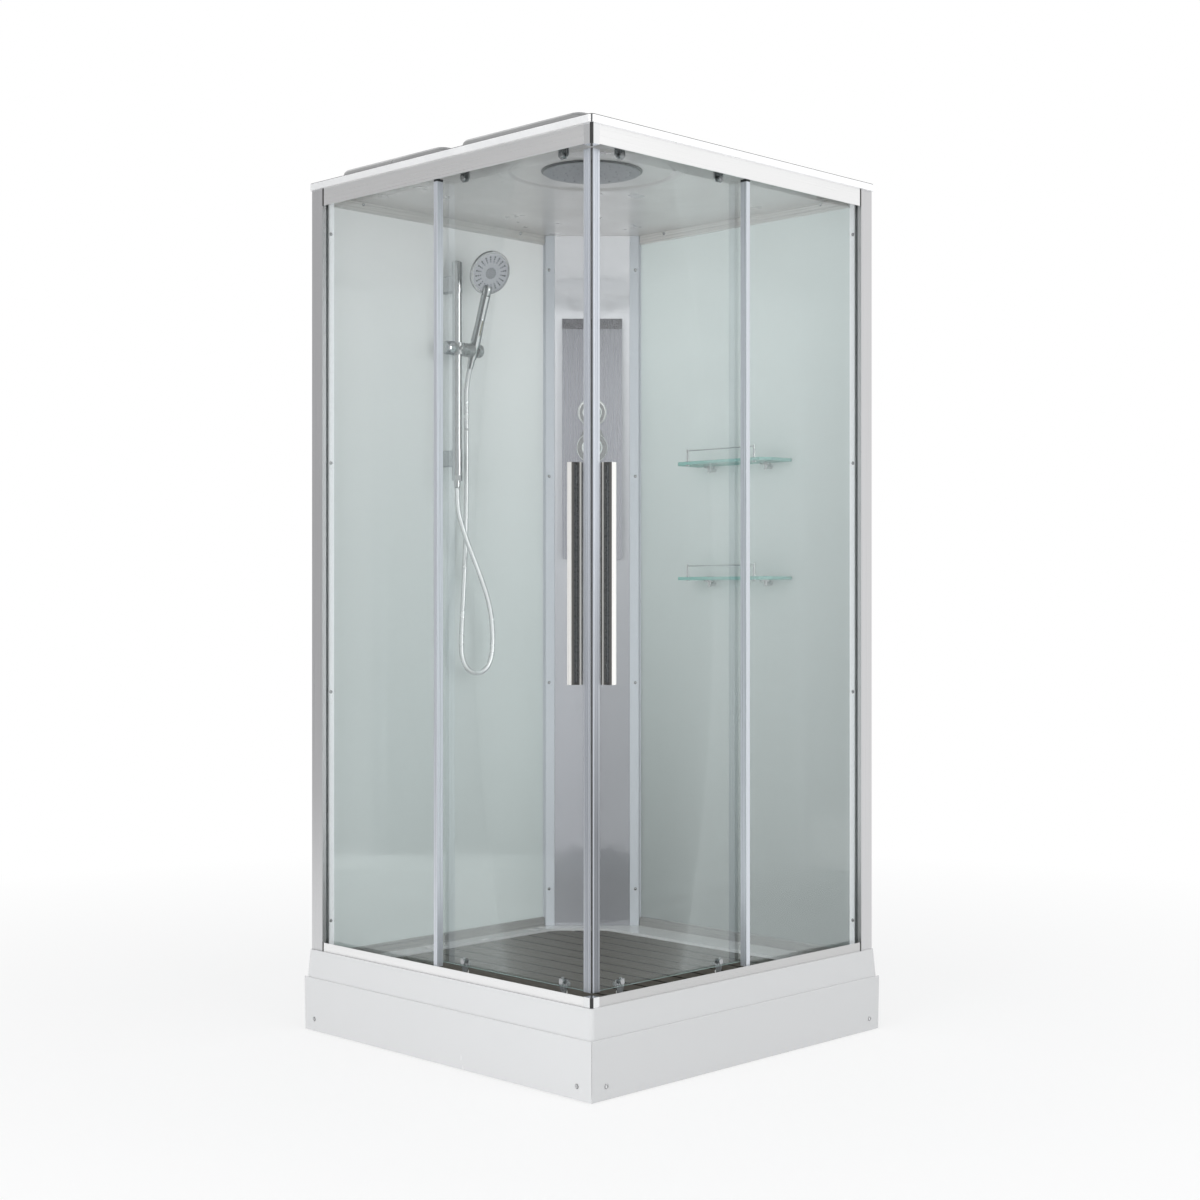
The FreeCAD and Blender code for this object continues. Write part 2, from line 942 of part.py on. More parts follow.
def make_posts():
    middle = glass_plane + glass_thickness / 2
    solid = side_box(post_start, frame_side, 0, post_depth, rim_top, top_rail_top)
    slot = side_box(post_start - overrun, post_start + post_slot_depth, middle - glass_slot / 2,
                    middle + glass_slot / 2, rim_top - overrun, top_rail_top + overrun)
    chamber = side_box(post_start + post_slot_depth + post_wall, frame_side - post_wall, post_wall,
                       post_depth - post_wall, rim_top - overrun, top_rail_top + overrun)
    left = solid.cut([slot, chamber])
    return Part.makeCompound([left, twin(left)])


def bottom_rail_section():
    base = rim_top
    web = base + rail_web
    mid = fixed_channel_reach
    ridge_end = bottom_ridge_start + bottom_ridge_width
    return [
        (0, base),
        (ridge_end, base),
        (ridge_end, base + bottom_ridge_height),
        (bottom_ridge_start, base + bottom_ridge_height),
        (bottom_ridge_start, web),
        (mid + rail_web, web),
        (mid + rail_web, base + bottom_mid_wall_height),
        (mid, base + bottom_mid_wall_height),
        (mid, web),
        (rail_wall, web),
        (rail_wall, bottom_rail_top - rail_wall),
        (rail_wall / 2, bottom_rail_top),
        (0, bottom_rail_top),
    ]


def top_rail_section():
    top = top_rail_top
    under = top - rail_wall
    mid = fixed_channel_reach
    return [
        (0, top_rail_bottom),
        (rail_wall, top_rail_bottom),
        (rail_wall, under),
        (mid, under),
        (mid, top_ledge_height - top_ledge_thickness),
        (top_ledge_reach, top_ledge_height - top_ledge_thickness),
        (top_ledge_reach, top_ledge_height),
        (mid + rail_web, top_ledge_height),
        (mid + rail_web, under),
        (rail_depth - rail_web, under),
        (rail_depth - rail_web, top - top_inner_lip_drop),
        (rail_depth, top - top_inner_lip_drop),
        (rail_depth, top),
        (0, top),
    ]


def make_rails(section):
    left = side_bar(section, corner_leg, post_start - rail_joint_gap).common(left_half_plan())
    return Part.makeCompound([left, twin(left)])


def corner_block(low, high, hollow_low, hollow_high):
    """Chrome corner piece between the ends of the two rails."""
    reach = -corner_proud
    leg = corner_leg - seat_gap
    corners = [
        side_point(reach, reach),
        side_point(leg, reach),
        side_point(leg, leg),
        side_point(reach, leg),
    ]
    small = corner_proud / 2
    block = rounded_prism(corners, [corner_round, small, small, small], low, high)
    wall = rail_wall + corner_proud
    core = [
        side_point(wall, wall),
        side_point(leg - wall, wall),
        side_point(leg - wall, leg - wall),
        side_point(wall, leg - wall),
    ]
    return block.cut(prism(core, hollow_low, hollow_high))


def make_corner_blocks():
    low = corner_block(rim_top, corner_block_top, rim_top - overrun, bottom_rail_top - rail_wall)
    floor = top_rail_bottom - 2 * corner_proud
    high = corner_block(floor, top_rail_top, floor + rail_wall, top_rail_top + overrun)
    return Part.makeCompound([low, high])


def make_fixed_glass():
    low = rim_top + rail_web + seat_gap
    high = top_rail_top - rail_wall - seat_gap
    end = post_start + post_slot_depth - seat_gap
    left = side_box(fixed_glass_start, end, glass_plane, glass_plane + glass_thickness, low, high)
    return Part.makeCompound([left, twin(left)])


def make_edge_strips():
    """Upright strip on the free edge of each fixed pane, with the fin that meets the door."""
    low = bottom_rail_top - rail_wall
    high = top_rail_bottom + rail_wall
    end = strip_start + strip_width
    glass_back = glass_plane + glass_thickness + wall_glass_slack
    body = side_box(strip_start, end, strip_front, strip_back, low, high)
    slot = side_box(fixed_glass_start - seat_gap, end + overrun, glass_plane - wall_glass_slack,
                    glass_back, low - overrun, high + overrun)
    chamber = side_box(strip_start + strip_wall, end - strip_wall, glass_back + strip_wall,
                       strip_back - strip_wall, low - overrun, high + overrun)
    edges = [e for e in body.Edges if abs(e.Length - (high - low)) < shaft_gap]
    body = body.makeFillet(strip_round, edges)
    fin_start = strip_start + strip_fin_inset
    fin_clear = bracket_cap_radius + strip_fin_margin
    fin = side_box(fin_start, fin_start + strip_fin_thickness, strip_back - strip_fin_thickness,
                   strip_back + strip_fin, carrier_screw_height + fin_clear,
                   bracket_screw_height - fin_clear)
    left = body.cut([slot, chamber]).fuse(fin)
    return Part.makeCompound([left, twin(left)])


# Doors


def top_roller_hole(place, height):
    start = side_point(place, door_glass_plane - overrun, height)
    return cylinder(start, V(0, 1, 0), glass_hole_radius, door_glass_thickness + 2 * overrun)


def handle_screw_heights():
    return (handle_bottom + handle_screw_inset, handle_top - handle_screw_inset)


def handle_bolt_place():
    return (handle_grip_start + handle_end) / 2


def make_door_glass():
    back = door_glass_plane + door_glass_thickness
    pane = side_box(door_glass_start, door_glass_end, door_glass_plane, back, door_glass_bottom,
                    door_glass_top)
    holes = []
    for place in roller_places:
        holes.append(top_roller_hole(place, bracket_screw_height))
        holes.append(top_roller_hole(place, carrier_screw_height))
    for height in handle_screw_heights():
        holes.append(top_roller_hole(handle_bolt_place(), height))
    return pane.cut(holes)


def make_door_profile():
    """Corner stile of a door, with its slanted face towards the other door's."""
    front, back, end = door_profile_front, door_profile_back, door_profile_end
    corners = [
        side_point(front + seal_line, front),
        side_point(end, front),
        side_point(end, back),
        side_point(back + seal_line, back),
    ]
    small = profile_round / 2
    body = rounded_prism(corners, [small, profile_round, profile_round, small], door_profile_bottom,
                         door_profile_top)
    low = door_profile_bottom - overrun
    high = door_profile_top + overrun
    face = door_glass_plane + door_glass_thickness
    slot = side_box(door_glass_start - seat_gap, end + overrun, door_glass_plane - wall_glass_slack,
                    face + wall_glass_slack, low, high)
    grooves = []
    for share in (0.25, 0.5):
        place = front + seal_line + share * (end - front - seal_line)
        grooves.append(side_box(place, place + profile_round, front - overrun,
                                front + profile_round / 3, low, high))
    return body.cut([slot] + grooves)


def make_door_seal():
    front, back = door_profile_front, door_profile_back
    points = [
        side_point(front + seal_half_gap, front),
        side_point(front + seal_line - seat_gap / 4, front),
        side_point(back + seal_line - seat_gap / 4, back),
        side_point(back + seal_half_gap, back),
    ]
    return prism(points, door_profile_bottom, door_profile_top)


def make_handle():
    """Grip bar of channel section with closed ends, its base flange and its inner plate."""
    face = door_glass_plane
    grip, end, front = handle_grip_start, handle_end, handle_front
    inset = insert_thickness + shaft_gap
    outline = [
        side_point(handle_start, face),
        side_point(handle_start, face - handle_flange),
        side_point(grip, face - handle_flange),
        side_point(grip, front + handle_bevel),
        side_point(grip + handle_bevel, front),
        side_point(end - handle_bevel / 4, front),
        side_point(end, front + handle_bevel / 4),
        side_point(end, face),
    ]
    bar = prism(outline, handle_bottom, handle_top)
    low, high = handle_bottom + handle_cap, handle_top - handle_cap
    recess = side_box(grip - overrun, grip + inset, front + handle_bevel, face - handle_flange,
                      low, high)
    bar = bar.cut(recess)
    holes = []
    for height in handle_screw_heights():
        start = side_point(handle_bolt_place(), front + handle_bevel * 2, height)
        holes.append(cylinder(start, V(0, 1, 0), handle_bolt_radius, face))
    outer = bar.cut(holes)
    back = face + door_glass_thickness
    middle = handle_bolt_place()
    half = inner_plate_width / 2
    inner = side_box(middle - half, middle + half, back, back + inner_plate_thickness, handle_bottom,
                     handle_top)
    edges = [e for e in inner.Edges if e.BoundBox.YMin > side_point(0, back + shaft_gap).y]
    inner = inner.makeChamfer(inner_plate_thickness / 4, edges)
    bolts = []
    for height in handle_screw_heights():
        start = side_point(middle, front + handle_bevel * 2, height)
        length = back - front - handle_bevel * 2
        bolts.append(cylinder(start, V(0, 1, 0), handle_bolt_radius, length))
    return Part.makeCompound([outer, fuse([inner] + bolts)])


def make_handle_insert():
    grip, front, face = handle_grip_start, handle_front, door_glass_plane
    low, high = handle_bottom + handle_cap, handle_top - handle_cap
    w0 = front + handle_bevel + shaft_gap
    w1 = face - handle_flange - shaft_gap
    strip = side_box(grip, grip + insert_thickness, w0, w1, low + shaft_gap, high - shaft_gap)
    middle = (w0 + w1) / 2
    groove = side_box(grip - overrun, grip + insert_thickness / 2, middle - insert_groove / 2,
                      middle + insert_groove / 2, low - overrun, high + overrun)
    strip = strip.cut(groove)
    screws = []
    for height in handle_screw_heights():
        start = side_point(grip + insert_thickness / 2, middle, height)
        screws.append(cylinder(start, V(1, 0, 0), handle_screw_radius, insert_thickness))
    return fuse([strip] + screws)


def make_roller_brackets():
    """Two top brackets and two bottom carriers of one door, with their axles."""
    back = door_glass_plane + door_glass_thickness
    front = door_glass_plane
    inward = V(0, 1, 0)
    pieces = []
    for place in roller_places:
        half = bracket_plate_width / 2
        low, high = bracket_plate_bottom, bracket_plate_top
        quarter = half / 2
        outline = [
            side_point(place - half, 0, low + quarter),
            side_point(place - quarter, 0, low),
            side_point(place + quarter, 0, low),
            side_point(place + half, 0, low + quarter),
            side_point(place + half, 0, bracket_screw_height + half),
            side_point(place + quarter, 0, high),
            side_point(place - quarter, 0, high),
            side_point(place - half, 0, bracket_screw_height + half),
        ]
        plate = polygon_face(outline).extrude(inward * bracket_plate_thickness)
        plate.translate(inward * back)
        axle_start = top_wheel_front - wheel_run_gap
        axle = cylinder(side_point(place, axle_start, top_axle_height), inward, top_axle_radius,
                        back - axle_start + bracket_plate_thickness / 2)
        head = cylinder(side_point(place, axle_start - axle_head_thickness, top_axle_height), inward,
                        axle_head_radius, axle_head_thickness)
        collar_start = top_wheel_front + top_wheel_width + wheel_run_gap
        collar = cylinder(side_point(place, collar_start, top_axle_height), inward, axle_head_radius,
                          back - collar_start)
        shank = cylinder(side_point(place, front, bracket_screw_height), inward,
                         bracket_shank_radius, door_glass_thickness)
        cap = cylinder(side_point(place, front - bracket_cap_thickness, bracket_screw_height),
                       inward, bracket_cap_radius, bracket_cap_thickness)
        knob_start = back + bracket_plate_thickness
        knob = cylinder(side_point(place, knob_start, bracket_screw_height), inward,
                        bracket_cap_radius, bracket_cap_thickness)
        pieces.append(fuse([plate, axle, head, collar, shank, cap, knob]))
    for place in roller_places:
        pieces.append(bottom_carrier(place))
    return Part.makeCompound(pieces)


def button_place(place):
    return place + carrier_plate_width / 2 - button_inset


def bottom_carrier(place):
    back = door_glass_plane + door_glass_thickness
    inward = V(0, 1, 0)
    half = carrier_plate_width / 2
    plate_back = back + carrier_plate_thickness
    outline = [
        side_point(place - half, 0, carrier_plate_top),
        side_point(place + half, 0, carrier_plate_top),
        side_point(place + half, 0, carrier_barrel_height - carrier_barrel_radius),
        side_point(place + half / 2, 0, carrier_plate_bottom),
        side_point(place - half / 2, 0, carrier_plate_bottom),
        side_point(place - half, 0, carrier_barrel_height - carrier_barrel_radius),
    ]
    plate = polygon_face(outline).extrude(inward * carrier_plate_thickness)
    plate.translate(inward * back)
    barrel = cylinder(side_point(place + half, carrier_barrel_reach, carrier_barrel_height),
                      V(1, 0, 0), carrier_barrel_radius, carrier_plate_width)
    wheel_back = bottom_wheel_front + bottom_wheel_width
    axle = cylinder(side_point(place, plate_back - carrier_plate_thickness / 2, bottom_axle_height),
                    inward, bottom_axle_radius, wheel_back + wheel_run_gap - plate_back
                    + carrier_plate_thickness / 2)
    head = cylinder(side_point(place, wheel_back + wheel_run_gap, bottom_axle_height), inward,
                    axle_head_radius, axle_head_thickness)
    shank = cylinder(side_point(place, door_glass_plane, carrier_screw_height), inward,
                     bracket_shank_radius, door_glass_thickness)
    cap = cylinder(side_point(place, door_glass_plane - bracket_cap_thickness, carrier_screw_height),
                   inward, bracket_cap_radius, bracket_cap_thickness)
    bore_top = carrier_barrel_height + carrier_barrel_radius
    bore_depth = button_stem_depth + button_travel + button_rest_gap
    hole = cylinder(side_point(button_place(place), carrier_barrel_reach, bore_top - bore_depth), UP,
                    button_radius + shaft_gap, bore_depth + overrun)
    return fuse([plate, barrel, axle, head, shank, cap]).cut(hole)


def make_release_button(place):
    """Push button that frees a bottom wheel for cleaning."""
    bore_top = carrier_barrel_height + carrier_barrel_radius
    cap_low = bore_top + button_travel + button_rest_gap
    base = side_point(button_place(place), carrier_barrel_reach, cap_low)
    outline = [
        (0, -button_travel - button_stem_depth),
        (button_radius, -button_travel - button_stem_depth),
        (button_radius, 0),
        (button_cap_radius, 0),
        (button_cap_radius, button_cap_height * 0.6),
        (button_cap_radius * 0.6, button_cap_height),
        (0, button_cap_height),
    ]
    return revolve(outline, base, UP)


def make_wheel(place, height, radius, start, width, bore):
    """Grooved roller on an axis square to the glass."""
    origin = side_point(place, start, height)
    groove = wheel_groove
    outline = [
        (bore + shaft_gap, 0),
        (radius, 0),
        (radius, width * 0.2),
        (radius - groove, width * 0.35),
        (radius - groove, width * 0.65),
        (radius, width * 0.8),
        (radius, width),
        (bore + shaft_gap, width),
    ]
    return revolve(outline, origin, V(0, 1, 0))


# Back walls


def make_back_glass():
    v0 = stile_end - groove_depth + seat_gap
    v1 = wall_end + groove_depth - seat_gap
    low = ledge_top + base_height - groove_depth + seat_gap
    high = stile_top - header_height + groove_depth - seat_gap
    left = wall_box(v0, v1, wall_glass_plane, wall_glass_plane + wall_glass_thickness, low, high)
    arms = []
    for height in bracket_heights:
        arms.append(cylinder(wall_point(rail_v, 0, height), V(1, 0, 0), glass_hole_radius, rail_t))
    right = twin(left)
    feet = []
    for place in support_places:
        for shelf in shelf_heights:
            start = wall_point(place, 0, shelf - support_arm_drop)
            feet.append(twin(cylinder(start, V(1, 0, 0), glass_hole_radius, rail_t)))
    return Part.makeCompound([left.cut(arms), right.cut(feet)])


def glass_groove_span():
    low = wall_glass_plane - wall_glass_slack
    return low, wall_glass_plane + wall_glass_thickness + wall_glass_slack


def make_wall_stiles():
    g0, g1 = glass_groove_span()
    body = wall_box(stile_start, stile_end, wall_profile_back, wall_profile_face, rim_top, stile_top)
    edges = [e for e in body.Edges
             if abs(e.Length - (stile_top - rim_top)) < shaft_gap
             and e.BoundBox.XMin > wall_point(0, wall_profile_face - shaft_gap).x]
    body = body.makeFillet(profile_round, edges)
    groove = wall_box(stile_end - groove_depth, stile_end + overrun, g0, g1, rim_top - overrun,
                      stile_top + overrun)
    left = body.cut(groove)
    return Part.makeCompound([left, twin(left)])


def wall_bar(low, high, opens_up):
    """Level profile of a back wall, grooved for the glass along its top or bottom edge."""
    g0, g1 = glass_groove_span()
    v0, v1 = stile_end, wall_end
    t0, t1 = wall_profile_back, wall_profile_face
    section = [(t0, low), (t1, low), (t1, high), (t0, high)]
    if opens_up:
        section[2] = (t1 - header_round, high)
        section.insert(2, (t1, high - header_round))
    else:
        section[1] = (t1, low + header_round)
        section.insert(1, (t1 - header_round, low))
    points = [wall_point(v0, t, z) for t, z in section]
    bar = polygon_face(points).extrude(wall_point(v1, 0) - wall_point(v0, 0))
    if opens_up:
        groove = wall_box(v0 - overrun, v1 + overrun, g0, g1, high - groove_depth, high + overrun)
    else:
        groove = wall_box(v0 - overrun, v1 + overrun, g0, g1, low - overrun, low + groove_depth)
    return bar.cut(groove)


def make_wall_bars():
    base = wall_bar(ledge_top, ledge_top + base_height, True)
    header = wall_bar(stile_top - header_height, stile_top, False)
    return Part.makeCompound([base, twin(base), header, twin(header)])


def column_point(s, depth, z=0):
    """A point of the corner column: s across its face, depth behind its front face."""
    return OUT * -(column_face_distance + depth) + ALONG * s + UP * z


def column_slab(s0, s1, depth0, depth1, z0, z1):
    points = [
        column_point(s0, depth0),
        column_point(s1, depth0),
        column_point(s1, depth1),
        column_point(s0, depth1),
    ]
    return prism(points, z0, z1)


def make_column_panel():
    half = column_half_width
    low = ledge_top + column_bottom_gap
    panel = column_slab(-half, half, 0, column_thickness, low, stile_top)
    holes = []
    for height in (diverter_height, mixer_height):
        start = column_point(0, -overrun, height)
        holes.append(cylinder(start, -OUT, control_hole_radius, column_thickness + 2 * overrun))
    return panel.cut(holes)


def make_column_trims():
    """Upright trims that hold the column's edges and the inner edges of the wall glass."""
    g0, g1 = glass_groove_span()
    low = ledge_top + column_bottom_gap
    half = column_half_width
    strip = column_slab(-half, trim_width - half, -trim_thickness, 0, low, stile_top)
    edges = [e for e in strip.Edges
             if abs(e.Length - (stile_top - low)) < shaft_gap
             and e.CenterOfMass.dot(OUT) > trim_thickness / 2 - column_face_distance]
    strip = strip.makeFillet(trim_round, edges)
    post = wall_box(wall_end, trim_post_end, wall_profile_back, wall_profile_face, low, stile_top)
    behind = column_slab(-tray_side, tray_side, -trim_thickness, column_thickness + seat_gap,
                         low - overrun, stile_top + overrun)
    groove = wall_box(wall_end - overrun, wall_end + groove_depth, g0, g1, low - overrun,
                      stile_top + overrun)
    post = post.cut([behind, groove])
    keep = [s for s in post.Solids if s.Volume > 0]
    keep.sort(key=lambda s: -s.Volume)
    pieces = [strip, keep[0]]
    return Part.makeCompound(pieces + [twin(p) for p in pieces])


def screw_heights():
    first = rim_top + screw_first_rise
    pitch = (stile_top - screw_last_drop - first) / (screw_rows - 1)
    return [first + k * pitch for k in range(screw_rows)]


def cover_screw(seat, direction):
    outline = [
        (0, 0),
        (cover_screw_radius, 0),
        (cover_screw_radius, cover_screw_height * 0.35),
        (cover_screw_radius * 0.72, cover_screw_height * 0.85),
        (0, cover_screw_height),
    ]
    return revolve(outline, seat, direction)


def make_cover_screws():
    screws = []
    for height in screw_heights():
        seat = wall_point(stile_end - stile_screw_inset, wall_profile_face, height)
        stile = cover_screw(seat, V(1, 0, 0))
        seat = column_point(-column_screw_offset, -trim_thickness, height)
        trim = cover_screw(seat, OUT)
        screws += [stile, twin(stile), trim, twin(trim)]
    for place in (header_screw_near, wall_end - header_screw_far):
        seat = wall_point(place, wall_profile_face, stile_top - header_screw_drop)
        header = cover_screw(seat, V(1, 0, 0))
        screws += [header, twin(header)]
    return Part.makeCompound(screws)


def make_control_panel():
    """Polished steel cover of the column with a slanted top and round holes for the controls."""
    half = control_panel_half_width
    low, high = control_panel_bottom, control_panel_top
    proud = control_panel_height_proud
    outline = [
        column_point(0, 0, low),
        column_point(0, -proud, low),
        column_point(0, -proud, high - control_panel_bevel),
        column_point(0, -proud / 4, high),
        column_point(0, 0, high),
    ]
    body = polygon_face(outline).extrude(ALONG * (2 * half))
    body.translate(ALONG * -half)
    across = [e for e in body.Edges
              if abs(e.Length - proud) < shaft_gap and abs(e.CenterOfMass.z - low) < shaft_gap]
    body = body.makeFillet(control_panel_radius, across)
    shell = control_panel_shell
    inner = column_slab(shell - half, half - shell, -(proud - shell), overrun, low + 2 * shell,
                        high - control_panel_bevel - shell)
    holes = []
    for height in (diverter_height, mixer_height):
        start = column_point(0, overrun, height)
        holes.append(cylinder(start, OUT, control_hole_radius, proud + 2 * overrun))
    return body.cut([inner] + holes)


def make_mixer():
    """Mixing valve behind the column, with two stems, two inlets and two outlets."""
    low = mixer_height - valve_below
    high = diverter_height + valve_above
    middle = column_point(0, valve_distance)
    body = cylinder(middle + UP * low, UP, valve_radius, high - low)
    parts = [body]
    bores = []
    stem_end = control_panel_height_proud + control_blind - seat_gap
    for height in (diverter_height, mixer_height):
        start = middle + UP * height
        parts.append(cylinder(start, OUT, control_stem_radius, valve_distance + stem_end))
    arm_height = mixer_height - valve_below / 2
    half = inlet_spacing / 2
    reach = half + manifold_radius
    arm = cylinder(middle - ALONG * reach + UP * arm_height, ALONG, manifold_radius, 2 * reach)
    parts.append(arm)
    seat = manifold_radius + inlet_collar_length
    for sign in (-1, 1):
        root = middle + ALONG * (sign * half) + UP * arm_height
        parts.append(cylinder(root, -OUT, inlet_collar_radius, seat))
        parts.append(cylinder(root, -OUT, inlet_radius, seat + inlet_length))
        bores.append(cylinder(root - OUT * seat, -OUT, inlet_bore, inlet_length + overrun))
        riser = middle + ALONG * (sign * valve_radius / 2) + UP * (high - overrun)
        parts.append(cylinder(riser, UP, outlet_radius, outlet_length + overrun))
    return fuse(parts).cut(bores)


def control_seat(height):
    return column_point(0, -(control_panel_height_proud + seat_gap), height)


def control_bore(seat):
    """Blind hole of a control for the valve's stem."""
    start = seat - OUT * overrun
    return cylinder(start, OUT, control_stem_radius + shaft_gap, overrun + control_blind)


def make_diverter_control():
    """Upper control: a round plate with a raised rim, a dish and a middle disc."""
    seat = control_seat(diverter_height)
    radius, depth, rim = diverter_radius, diverter_depth, control_rim
    dish = depth - control_dish_depth
    outline = [
        (0, 0),
        (control_base_radius, 0),
        (control_base_radius, control_base_depth),
        (radius, control_base_depth + rim),
        (radius, depth - rim / 2),
        (radius - rim / 2, depth),
        (radius - rim, depth),
        (radius - 2 * rim, dish),
        (control_dish_radius, dish),
        (control_dish_radius - rim, depth - rim / 2),
        (0, depth - rim / 2),
    ]
    return revolve(outline, seat, OUT).cut(control_bore(seat))


def lever_outline(seat):
    """Tapered outline of the lever, ending on a round about the control's own axis."""
    low, high = lever_low_height, lever_top_height
    wide, narrow = lever_low_half_width, lever_top_half_width
    left = [seat - ALONG * wide + UP * low, seat - ALONG * narrow + UP * high]
    right = [seat + ALONG * narrow + UP * high, seat + ALONG * wide + UP * low]
    edges = [
        Part.LineSegment(left[0], left[1]).toShape(),
        Part.Arc(left[1], seat + UP * math.hypot(narrow, high), right[0]).toShape(),
        Part.LineSegment(right[0], right[1]).toShape(),
        Part.LineSegment(right[1], left[0]).toShape(),
    ]
    return Part.Face(Part.Wire(edges))


def make_mixer_control():
    """Lower control: a round plate with a lever that points up, and a domed middle."""
    seat = control_seat(mixer_height)
    radius, depth, rim = mixer_control_radius, mixer_control_depth, control_rim
    cap, cap_depth = mixer_cap_radius, mixer_cap_depth
    outline = [
        (0, 0),
        (control_base_radius, 0),
        (control_base_radius, control_base_depth),
        (radius, control_base_depth + rim),
        (radius, depth - rim / 2),
        (radius - rim / 2, depth),
        (cap, depth),
        (cap - rim / 2, cap_depth - 2 * rim),
        (cap - 2 * rim, cap_depth - rim / 2),
        (cap / 2, cap_depth),
        (0, cap_depth),
    ]
    body = revolve(outline, seat, OUT)
    base = seat + OUT * (control_base_depth + rim)
    lever = lever_outline(base).extrude(OUT * (depth - control_base_depth - 2 * rim))
    return body.fuse(lever).removeSplitter().cut(control_bore(seat))


# Roof


def pad_spans():
    far = frame_side - pad_far_margin
    middle = (pad_first + far) / 2
    half = pad_channel / 2
    return ((pad_first, middle - half), (middle + half, far))


def pad_solid(u_span, w_span, inset, base, top):
    u0, u1 = u_span
    w0, w1 = w_span

    def ring(shrink, z):
        corners = [
            side_point(u0 + shrink, w0 + shrink),
            side_point(u1 - shrink, w0 + shrink),
            side_point(u1 - shrink, w1 - shrink),
            side_point(u0 + shrink, w1 - shrink),
        ]
        return rounded_wire(corners, [pad_radius - shrink / 2] * 4, z)

    return Part.makeLoft([ring(inset, base), ring(inset + pad_slope, top)], True, True)


def roof_liner(inset, low, high):
    """Block of the roof that reaches down between the glazed sides and over the walls."""
    edge = frame_half - ceiling_edge - inset
    back = frame_half - ceiling_wall_reach - inset
    return box(V(-back, -edge, low), V(edge, back, high))


def make_roof():
    """Roof moulding: lip and raised pads above, ceiling liner with its embossed ring below."""
    radii = [roof_corner_radius] * 4
    outer = rounded_prism(square(roof_half), radii, lip_bottom, lip_top)
    edges = [e for e in outer.Edges if e.BoundBox.ZMin > lip_top - shaft_gap]
    outer = outer.makeFillet(roof_edge_round, edges)
    sheet = roof_sheet
    inner_radii = [roof_corner_radius - sheet] * 4
    core = rounded_prism(square(roof_half - sheet), inner_radii, lip_bottom + sheet,
                         lip_top - sheet)
    pads = []
    hollows = []
    for u_span in pad_spans():
        for w_span in pad_spans():
            pads.append(pad_solid(u_span, w_span, 0, lip_top - sheet, overall_height))
            hollows.append(pad_solid(u_span, w_span, sheet, lip_top - sheet - seat_gap,
                                     overall_height - sheet))
    liner = roof_liner(0, ceiling_bottom, lip_bottom + sheet)
    room = roof_liner(sheet, ceiling_bottom + ceiling_sheet, lip_bottom + 2 * sheet)
    body = outer.fuse(pads + [liner]).cut([core, room] + hollows)
    centre = side_point(shower_place, shower_place)
    hole = cylinder(centre + UP * (ceiling_bottom - overrun), UP,
                    shower_spigot_radius + seat_gap, ceiling_sheet + 2 * overrun)
    return body.fuse(ceiling_ring()).cut(hole)


def ceiling_ring():
    low = ceiling_bottom
    width = ring_outer - ring_inner
    outline = [
        (ring_inner, low + shaft_gap),
        (ring_inner + width * 0.25, low - ring_height * 0.8),
        (ring_inner + width * 0.5, low - ring_height),
        (ring_inner + width * 0.75, low - ring_height * 0.8),
        (ring_outer, low + shaft_gap),
    ]
    return revolve(outline, side_point(shower_place, shower_place), UP)


def make_overhead_shower():
    centre = side_point(shower_place, shower_place)
    top = ceiling_bottom - shaft_gap
    low = top - shower_thickness
    outline = [
        (0, low),
        (shower_radius - shower_bevel, low),
        (shower_radius, low + shower_bevel),
        (shower_radius, top - shower_bevel),
        (shower_ring_radius, top - shower_bevel / 2),
        (shower_ring_radius, top),
        (shower_spigot_radius, top),
        (shower_spigot_radius, top + shower_spigot_length),
        (0, top + shower_spigot_length),
    ]
    plate = revolve(outline, centre, UP)
    nozzles = []
    for ring, count in enumerate(nozzle_counts, 1):
        radius = ring * nozzle_ring_pitch
        for k in range(count):
            angle = math.radians(360 * k / count)
            offset = V(radius * math.cos(angle), radius * math.sin(angle), low - nozzle_height)
            nozzles.append(Part.makeCone(nozzle_radius / 2, nozzle_radius, nozzle_height + shaft_gap,
                                         centre + offset, UP))
    nut_base = centre + UP * (ceiling_bottom + ceiling_sheet)
    nut = hexagon(nut_base, shower_nut_width, shower_nut_height)
    return fuse([plate, nut] + nozzles)


# Hand shower


def make_riser_rail():
    origin = wall_point(rail_v, rail_t)
    outline = [
        (rail_bore, rail_bottom),
        (rail_radius, rail_bottom),
        (rail_radius, rail_top - collar_cap),
        (rail_bore, rail_top - collar_cap),
    ]
    return revolve(outline, origin, UP)


def rail_collar(low, high, capped):
    """Thin sleeve round an end of the rail, closed over its top end."""
    outer = rail_radius + collar_wall
    inner = rail_radius + shaft_gap
    origin = wall_point(rail_v, rail_t)
    if not capped:
        return revolve([(inner, low), (outer, low), (outer, high), (inner, high)], origin, UP)
    cap = high - collar_cap + shaft_gap
    outline = [
        (inner, low),
        (outer, low),
        (outer, high - rail_cap_round),
        (outer - rail_cap_round, high),
        (0, high),
        (0, cap),
        (inner, cap),
    ]
    return revolve(outline, origin, UP)


